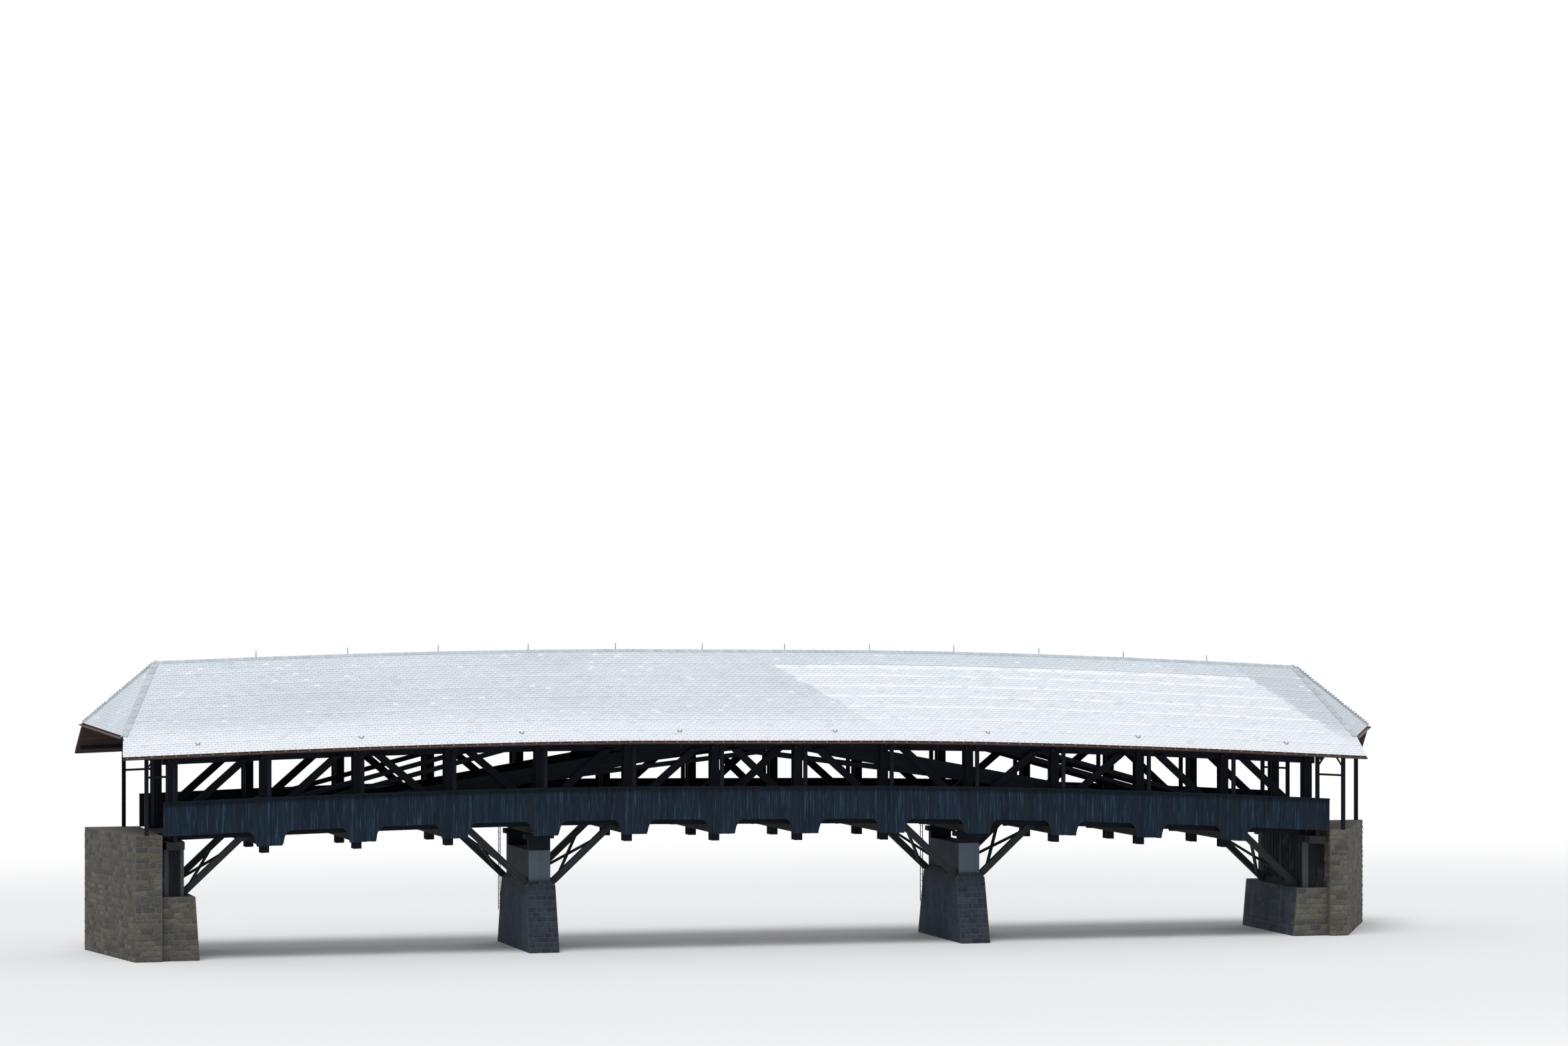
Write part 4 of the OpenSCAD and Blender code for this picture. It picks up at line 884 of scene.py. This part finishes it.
def tiles_material():
    """Pale weathered tiles: grey at mid slope, lighter to the eave, and a paler field right of mid length
    whose lifted courses, tone 1 and over, are painted with broken white lines of highlight; scattered tiles
    carry painted glints. The ends and lower edges, tone 2.1, are painted darker as shade, and saddles, tone
    3 and over, are greyer."""
    f = Finish("roof tiles", 0.3)
    tone = f.stored("tone")
    x, y, z = f.split()
    lifted = tone.step(1, 1.01) * (1 - tone.step(1.95, 2.05))
    own = tone % 1
    wide = f.drawn_out(x * 0.22, y * 1.1, z * 0.3, 3)
    cloud = f.noise(1.9, 4)
    grit = f.noise(90, 3)
    ragged = (cloud - 0.5) * 0.3 + (own - 0.5) * 0.1
    out = abs(y)
    field = (x + z * LEFT_RAKE + ragged).step(LEFT_EDGE, LEFT_EDGE + 0.1)
    beyond = (x + z * RIGHT_RAKE + ragged * 1.6).step(RIGHT_EDGE, RIGHT_EDGE + 0.15)
    field = field * (1 - beyond)
    field = field * (out + ragged * 0.1).step(0.36, 0.39) * (1 - y.step(-0.02, 0.02))
    top_line_highlight = field * (1 - out.step(0.45, 0.47))
    low = (out + ragged * 0.6).step(1.35, 2)
    broken = (f.drawn_out(x * 1.7, y * 9, 0, 3) + own * 0.1).step(0.38, 0.58)
    shade = own * 0.35 + grit * 0.15 + wide.step(0.25, 0.75) * 0.5
    f.colour = shade.mix((201, 210, 219), (222, 229, 236))
    f.lay(beyond * 0.45, (190, 198, 205))
    f.lay(field * 0.9, (own * 0.4 + cloud * 0.6).mix((220, 229, 238), (239, 245, 250)))
    f.lay(low * 0.85, (own * 0.5 + grit * 0.5).mix((227, 233, 240), (237, 242, 247)))
    # painted highlight: the lifted courses are laid white in broken lines, mostly in the pale field
    f.lay(lifted * broken * (field * (1 - low) * 0.85 + 0.1), (250, 252, 254))
    # painted highlight: the top course of the pale field is laid white
    f.lay(top_line_highlight * broken * 0.8, (252, 253, 254))
    # painted glints: scattered tiles laid nearly white, more of them in clouds over the pale field
    painted_glint = (own * 5.77 % 1 + field * cloud.step(0.55, 0.7) * 0.05).step(0.975, 0.985) * (1 - low)
    f.lay(painted_glint * 0.55, (244, 247, 250))
    f.lay((own * 9.31 % 1).step(0.97, 0.98) * 0.25, (176, 184, 194))
    # painted shade on the tiles' ends and lower edges
    f.lay(tone.step(1.95, 2.05) * 0.4, (140, 148, 158))
    f.lay(tone.step(2.9, 3) * 0.8, (own * 0.6 + cloud * 0.4).mix((172, 180, 188), (202, 209, 216)))
    return f.finish(0.55 + grit * 0.2, grit, 0.0012)


tile_paint = tiles_material()


def courses(height, width, edges, origin=0.0):
    """Tiles in half bond over a plane: for each its course, its distance up, its start and its end.

    Every other course starts half a tile further back. The plane's own edges, a start and an end for a
    distance up, cut the tiles, and a tile left narrower than TILE_LEAST is dropped.
    """
    row, column = np.indices((int(height / TILE_STEP), int(width / TILE_W) + 2)).reshape(2, -1)
    start, stop = edges(row * TILE_STEP)
    a = origin + (column - 0.5 * (row % 2)) * TILE_W
    b = np.minimum(a + TILE_W - TILE_GAP, stop)
    a = np.maximum(a, start)
    keep = b - a > TILE_LEAST
    return row[keep], row[keep] * TILE_STEP, a[keep], b[keep]


def lay_tiles(name, low_a, low_b, high_a, high_b, out, turned, draw, lifted=0):
    """Wedge tiles from the ends of their lower and upper edges on the boarding, (tiles, 3) each.

    The lower edge stands a drawn thickness above the boarding along out, more in a lifted course, whose
    tone over 1 marks it for painted highlight; the upper edge lies on it. Face and back have the tile's own
    tone, the ends and the lower edge the edge tone, which paints shade on them.
    """
    count = len(low_a)
    rise = out * (TILE_T * (THIN + THICK_DRAWN * draw.random(count) + THICK_LIFTED * lifted))[:, None]
    bed = out * TILE_BED
    first, second = (np.stack([low + bed, low + rise, high + bed], 1)
                     for low, high in ((low_a, high_a), (low_b, high_b)))
    tone = draw.random(count) * TONE_BELOW_ONE + lifted
    # the ends and lower edge take the tone of painted shade
    dark = np.full(count, SHADED_EDGE_TONE)
    members(name, *prisms(first, second, turned), tile_paint, "roof_slates",
            np.stack([dark, dark, dark, tone, tone], 1))


lifted_rows = np.cumsum(seeded(30).integers(5, 7, 12))
for side, node in ((-1, "near_roof"), (1, "far_roof")):
    points = points_of(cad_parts[node].data)
    rim_y = np.unique(np.round(np.abs(points[:, 1]), 3))
    rims = [points[np.abs(np.abs(points[:, 1]) - y) < SAME, 0] for y in rim_y]
    left, right = [rim.min() for rim in rims], [rim.max() for rim in rims]
    row, up, a, b = courses(SLOPE_L, max(right) - min(left), lambda up: [
        np.interp(EAVE_Y * (1 - up / SLOPE_L), rim_y, rim) for rim in (left, right)], min(left))
    low = EAVE_Y * (1 - up / SLOPE_L)
    high = np.maximum(low - EAVE_Y / SLOPE_L * TILE_STEP * TILE_LAP, TILE_TIP)
    corners = [np.stack([x, side * y, at(x, RIDGE_RISE - ROOF_FALL * y)], 1)
               for x, y in ((a, low), (b, low), (a, high), (b, high))]
    out = np.array([0.0, side * ROOF_FALL, 1.0]) / math.hypot(1, ROOF_FALL)
    lay_tiles(node + "_tiles", *corners, out, side < 0, seeded(31 + side), np.isin(row, lifted_rows))

# Each hip is named with its direction along the bridge, its top, its near corner and its far corner.
hips = []
for d, name in ((-1, "left"), (1, "right")):
    points = points_of(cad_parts["hips"].data)
    points = points[points[:, 0] * d > 0]
    near, far = (max((p for p in points if p[1] * s > 1), key=lambda p: p[2]) for s in (-1, 1))
    apex = points[np.argmax(points[:, 2])]
    hips.append((name, d, apex, near, far))
    width = norm(far - near)
    level = (far - near) / width
    apex_u = np.dot(apex - near, level)
    foot = near + level * apex_u
    height = norm(apex - foot)
    climb = (apex - foot) / height
    out = np.cross(level, climb)
    out *= np.sign(out[2])

    def edges(v):
        """Both slanting edges of the hip at a distance up its plane."""
        return apex_u * v / height, width + (apex_u - width) * v / height

    _, low, a, b = courses(height, width, edges)
    high = np.minimum(low + TILE_STEP * TILE_LAP, height)
    start, stop = edges(high)
    a_high = np.maximum(a, start)
    b_high = np.maximum(np.minimum(b, stop), a_high + TILE_TIP)
    corners = [near + u[:, None] * level + v[:, None] * climb
               for u, v in ((a, low), (b, low), (a_high, high), (b_high, high))]
    lay_tiles(name + "_hip_tiles", *corners, out, d < 0, seeded(51 + d))


def roof_boarding():
    """Underside and rim of the slopes: brown boards along the bridge with dark joints."""
    f = Finish("roof boarding")
    x, y, z = f.split()
    board = abs(y) / ROOF_BOARD_W
    row = board.floor()
    length = (x + row * ROOF_BOARD_SHIFT) / ROOF_BOARD_L
    joint = (abs(board % 1 - 0.5) - 0.455).step(0, 0.02)
    butt = (abs(length % 1 - 0.5) - 0.4975).step(0, 0.001)
    fibre = f.drawn_out(x * 1.4, y * 60, z * 3)
    own = f.noise(2.3, 0, over=f.join(row * 3.7, length.floor(), 0))
    f.colour = (fibre * 0.55 + own * 0.45).mix((36, 32, 30), (82, 70, 60))
    f.lay((joint + butt).clamp() * 0.8, (14, 13, 13))
    return f.finish(0.8, fibre * 0.5 - joint, 0.003)


repaint(roof_boarding(), "near_roof", "far_roof", "hips")

# Ridge and hip tiles
# Short saddle tiles bedded in mortar over the ridge and the hips,
# each lapping the one before it.

SADDLE_LEG, SADDLE_LIFT, SADDLE_UNDER, SADDLE_OVER, SADDLE_LAP = 0.105, 0.01, 0.002, 0.013, 0.12
RIDGE_TILE_L, HIP_TILE_L, HIP_BED, STEEP_LEG = 0.175, 0.22, 0.006, 0.2


def saddles(name, line, leg_a, leg_b, out, bed=0.0, replaces=()):
    """Saddle tiles along straight pieces of a line, (tiles + 1, 3).

    The section has two legs along the unit vectors leg_a and leg_b, joined by a rounded crown, and an
    inner face below it, all raised by bed. Each tile's start stands SADDLE_LIFT over the last one's end.
    """
    reach = np.array([1.0, 0.55, 0.22, 0.0, -0.22, -0.55, -1.0])[:, None] * SADDLE_LEG
    crown = np.array([0.0, 0.0, -0.004, -0.011, -0.004, 0.0, 0.0])[:, None]
    side = np.where(reach > 0, reach * leg_a, -reach * leg_b)
    ring = np.concatenate([side + crown * out + (SADDLE_OVER + bed) * out,
                           side[::-1] + (SADDLE_UNDER + bed) * out])
    start, end = line[:-1, None], line[1:, None]
    points = np.hstack([start + ring + SADDLE_LIFT * out, end + (end - start) * SADDLE_LAP + ring])
    m = len(ring)
    j, k = np.arange(len(reach) - 1), np.arange(m - 1)
    caps = np.stack([j, j + 1, m - 2 - j, m - 1 - j], 1)
    sides = np.stack([k, k + m, k + 1 + m, k + 1], 1)
    faces = np.concatenate([caps, (caps + m)[:, ::-1], sides, [[m - 1, 2 * m - 1, m, 0]]])
    if np.cross(points[0, 1] - points[0, 0], points[0, m] - points[0, 0]) @ out < 0:
        faces = faces[:, ::-1]
    tone = SADDLE_TONE + seeded(len(points)).random(len(points)) * TONE_BELOW_ONE
    members(name, points, [faces], tile_paint, "roof_slates", tone, replaces)


leg_y = np.array([0.0, 1.0, -ROOF_FALL]) / math.hypot(1, ROOF_FALL)
x = np.linspace(knot_x[0], knot_x[-1], round((knot_x[-1] - knot_x[0]) / RIDGE_TILE_L) + 1)
saddles("ridge_tiles", np.stack([x, np.zeros_like(x), at(x, RIDGE_RISE)], 1), leg_y, leg_y * (1, -1, 1),
        np.array([0.0, 0.0, 1.0]), 0.0, ("ridge_cap",))
for name, d, apex, near, far in hips:
    hip_out = np.cross(near - apex, far - apex)
    hip_out *= np.sign(hip_out[2]) / norm(hip_out)
    for corner, side, word in ((near, -1, "near"), (far, 1, "far")):
        length = norm(corner - apex)
        line = (corner - apex) / length
        slope_out = np.array([0.0, side * ROOF_FALL, 1.0]) / math.hypot(1, ROOF_FALL)
        leg_slope = np.cross(line, slope_out)
        leg_slope *= -np.sign(leg_slope[0] * d)
        leg_hip = np.cross(line, hip_out)
        leg_hip *= np.sign(leg_hip[0] * d) if abs(leg_hip[0]) > STEEP_LEG else -np.sign(leg_hip[1] * side)
        bisector = slope_out + hip_out
        bisector /= norm(bisector)
        t = np.linspace(0, 1, max(2, round(length / HIP_TILE_L)) + 1)[:, None]
        saddles(f"{name}_{word}_hip_saddles", corner + (apex - corner) * t, leg_slope, leg_hip, bisector,
                HIP_BED)

# Gutters, snow hooks and rods
# Half-round gutters of brown painted sheet on pale straps, small bent hooks over the eaves,
# and slim steel rods with knobs on the ridge.

GUTTER_R, STRAP_STEP, STRAP_FIRST, STRAP_LAST = 0.042, 0.285, 0.09, 0.05
STRAP_W, STRAP_DROP, STRAP_BACK = 0.022, 0.03, 0.002
STRAP_SECTION = ((0, 0.006), (2 * GUTTER_R, 0.002), (2 * GUTTER_R, 0.005), (0, 0.011))


def sheet_metal(name, colour, worn, rough):
    """Sheet and bars: worn in clouds and in fine spots, which are a little rougher."""
    f = Finish(name, 0.5, 0.25)
    cloud = f.noise(3, 4)
    fine = f.noise(60, 3)
    f.colour = (cloud.step(0.4, 0.75) * 0.7 + fine * 0.2).mix(colour, worn)
    return f.finish(rough + fine * 0.15, fine, 0.0006)


repaint(sheet_metal("gutter sheet", (74, 47, 42), (98, 72, 65), 0.45), "eave_gutters", "hip_gutters")
strap_sheet = sheet_metal("pale straps", (190, 190, 187), (156, 154, 150), 0.45)
steel = sheet_metal("dull steel", (58, 61, 66), (38, 40, 44), 0.42)
repaint(steel, "ladders")

straps = []
for side, node in ((-1, "near_roof"), (1, "far_roof")):
    low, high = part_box(node)
    straps += [(x, side) for x in np.arange(low.x + STRAP_FIRST, high.x - STRAP_LAST, STRAP_STEP)]
x, side = np.array(straps).T
ring = np.stack([np.stack([x, side * (EAVE_Y + out - STRAP_BACK), at(x, EAVE_RISE) - STRAP_DROP + up], 1)
                 for out, up in STRAP_SECTION], 1)
ring[side < 0] = ring[side < 0][:, ::-1]
half = np.array([STRAP_W / 2, 0, 0])
members("gutter_straps", *prisms(ring + half, ring - half), strap_sheet, "gutter_metal")

HOOK_FIRST, HOOK_STEP, HOOKS, HOOK_Y, HOOK_R, HOOK_SIDES = -14.13, 3.85, 8, 1.99, 0.006, 6
HOOK_HALF, HOOK_REACH, HOOK_OVER, HOOK_ARCH, HOOK_PAST = 0.05, 0.06, 0.018, 0.02, 0.15

# A hook is a round bar bent along an arch; its rings lie square to the arch, turned from the upright.
angle = np.linspace(-HOOK_PAST, math.pi + HOOK_PAST, 9)
hook, side = np.indices((HOOKS, 2)).reshape(2, -1, 1)
x = HOOK_FIRST + HOOK_STEP * hook + HOOK_HALF * np.cos(angle)
reach = HOOK_Y + HOOK_REACH * np.sin(angle)
lift = HOOK_OVER + HOOK_ARCH * np.sin(np.clip(angle, 0, math.pi))
hook_paths = np.stack([x, (2 * side - 1) * reach, at(x, RIDGE_RISE) - ROOF_FALL * reach + lift], 2)
run = np.gradient(hook_paths, axis=1)
run /= norm(run, axis=2, keepdims=True)
a = np.cross(run, (0, 0, 1))
a /= norm(a, axis=2, keepdims=True)
b = np.cross(run, a)
cos, sin = circle(HOOK_SIDES)
hooks = hook_paths[:, :, None] + HOOK_R * (cos * a[:, :, None] + sin * b[:, :, None])
members("snow_hooks", hooks.reshape(2 * HOOKS, -1, 3), skin(len(angle), HOOK_SIDES), steel, "steel",
        smooth=True)

ROD_SIDES, ROD_PROFILE = 12, ((0.008, -0.004), (0.008, 0.129), (0.011, 0.132), (0.014, 0.14),
                              (0.0135, 0.149), (0.009, 0.156), (0.002, 0.159))
ROD_TONES = (0, 0, 1, 1, 1, 1)


def rod_finish():
    """Dull steel, tone 0, with knobs painted white, tone 1."""
    f = Finish("rods with white knobs", 0.5, 0.2)
    grit = f.noise(120, 3)
    f.colour = f.stored("tone").step(0.4, 0.6).mix((92, 96, 102), (228, 230, 230))
    return f.finish(0.4 + grit * 0.2, grit, 0.0004)


cos, sin = circle(ROD_SIDES)
radius, z = np.array(ROD_PROFILE).T[..., None, None]
lathe = np.concatenate([radius * cos, radius * sin, z + 0 * cos], 2).reshape(-1, 3)
x = post_x[1:-1]
rod_at = np.stack([x, np.zeros_like(x), at(x, RIDGE_TOP)], 1)
rod_tone = np.tile([*np.repeat(ROD_TONES, ROD_SIDES), ROD_TONES[0], ROD_TONES[-1]], (len(x), 1))
members("ridge_rods_turned", rod_at[:, None] + lathe, skin(len(ROD_PROFILE), ROD_SIDES), rod_finish(),
        "steel", rod_tone, ("ridge_rods",), smooth=True)
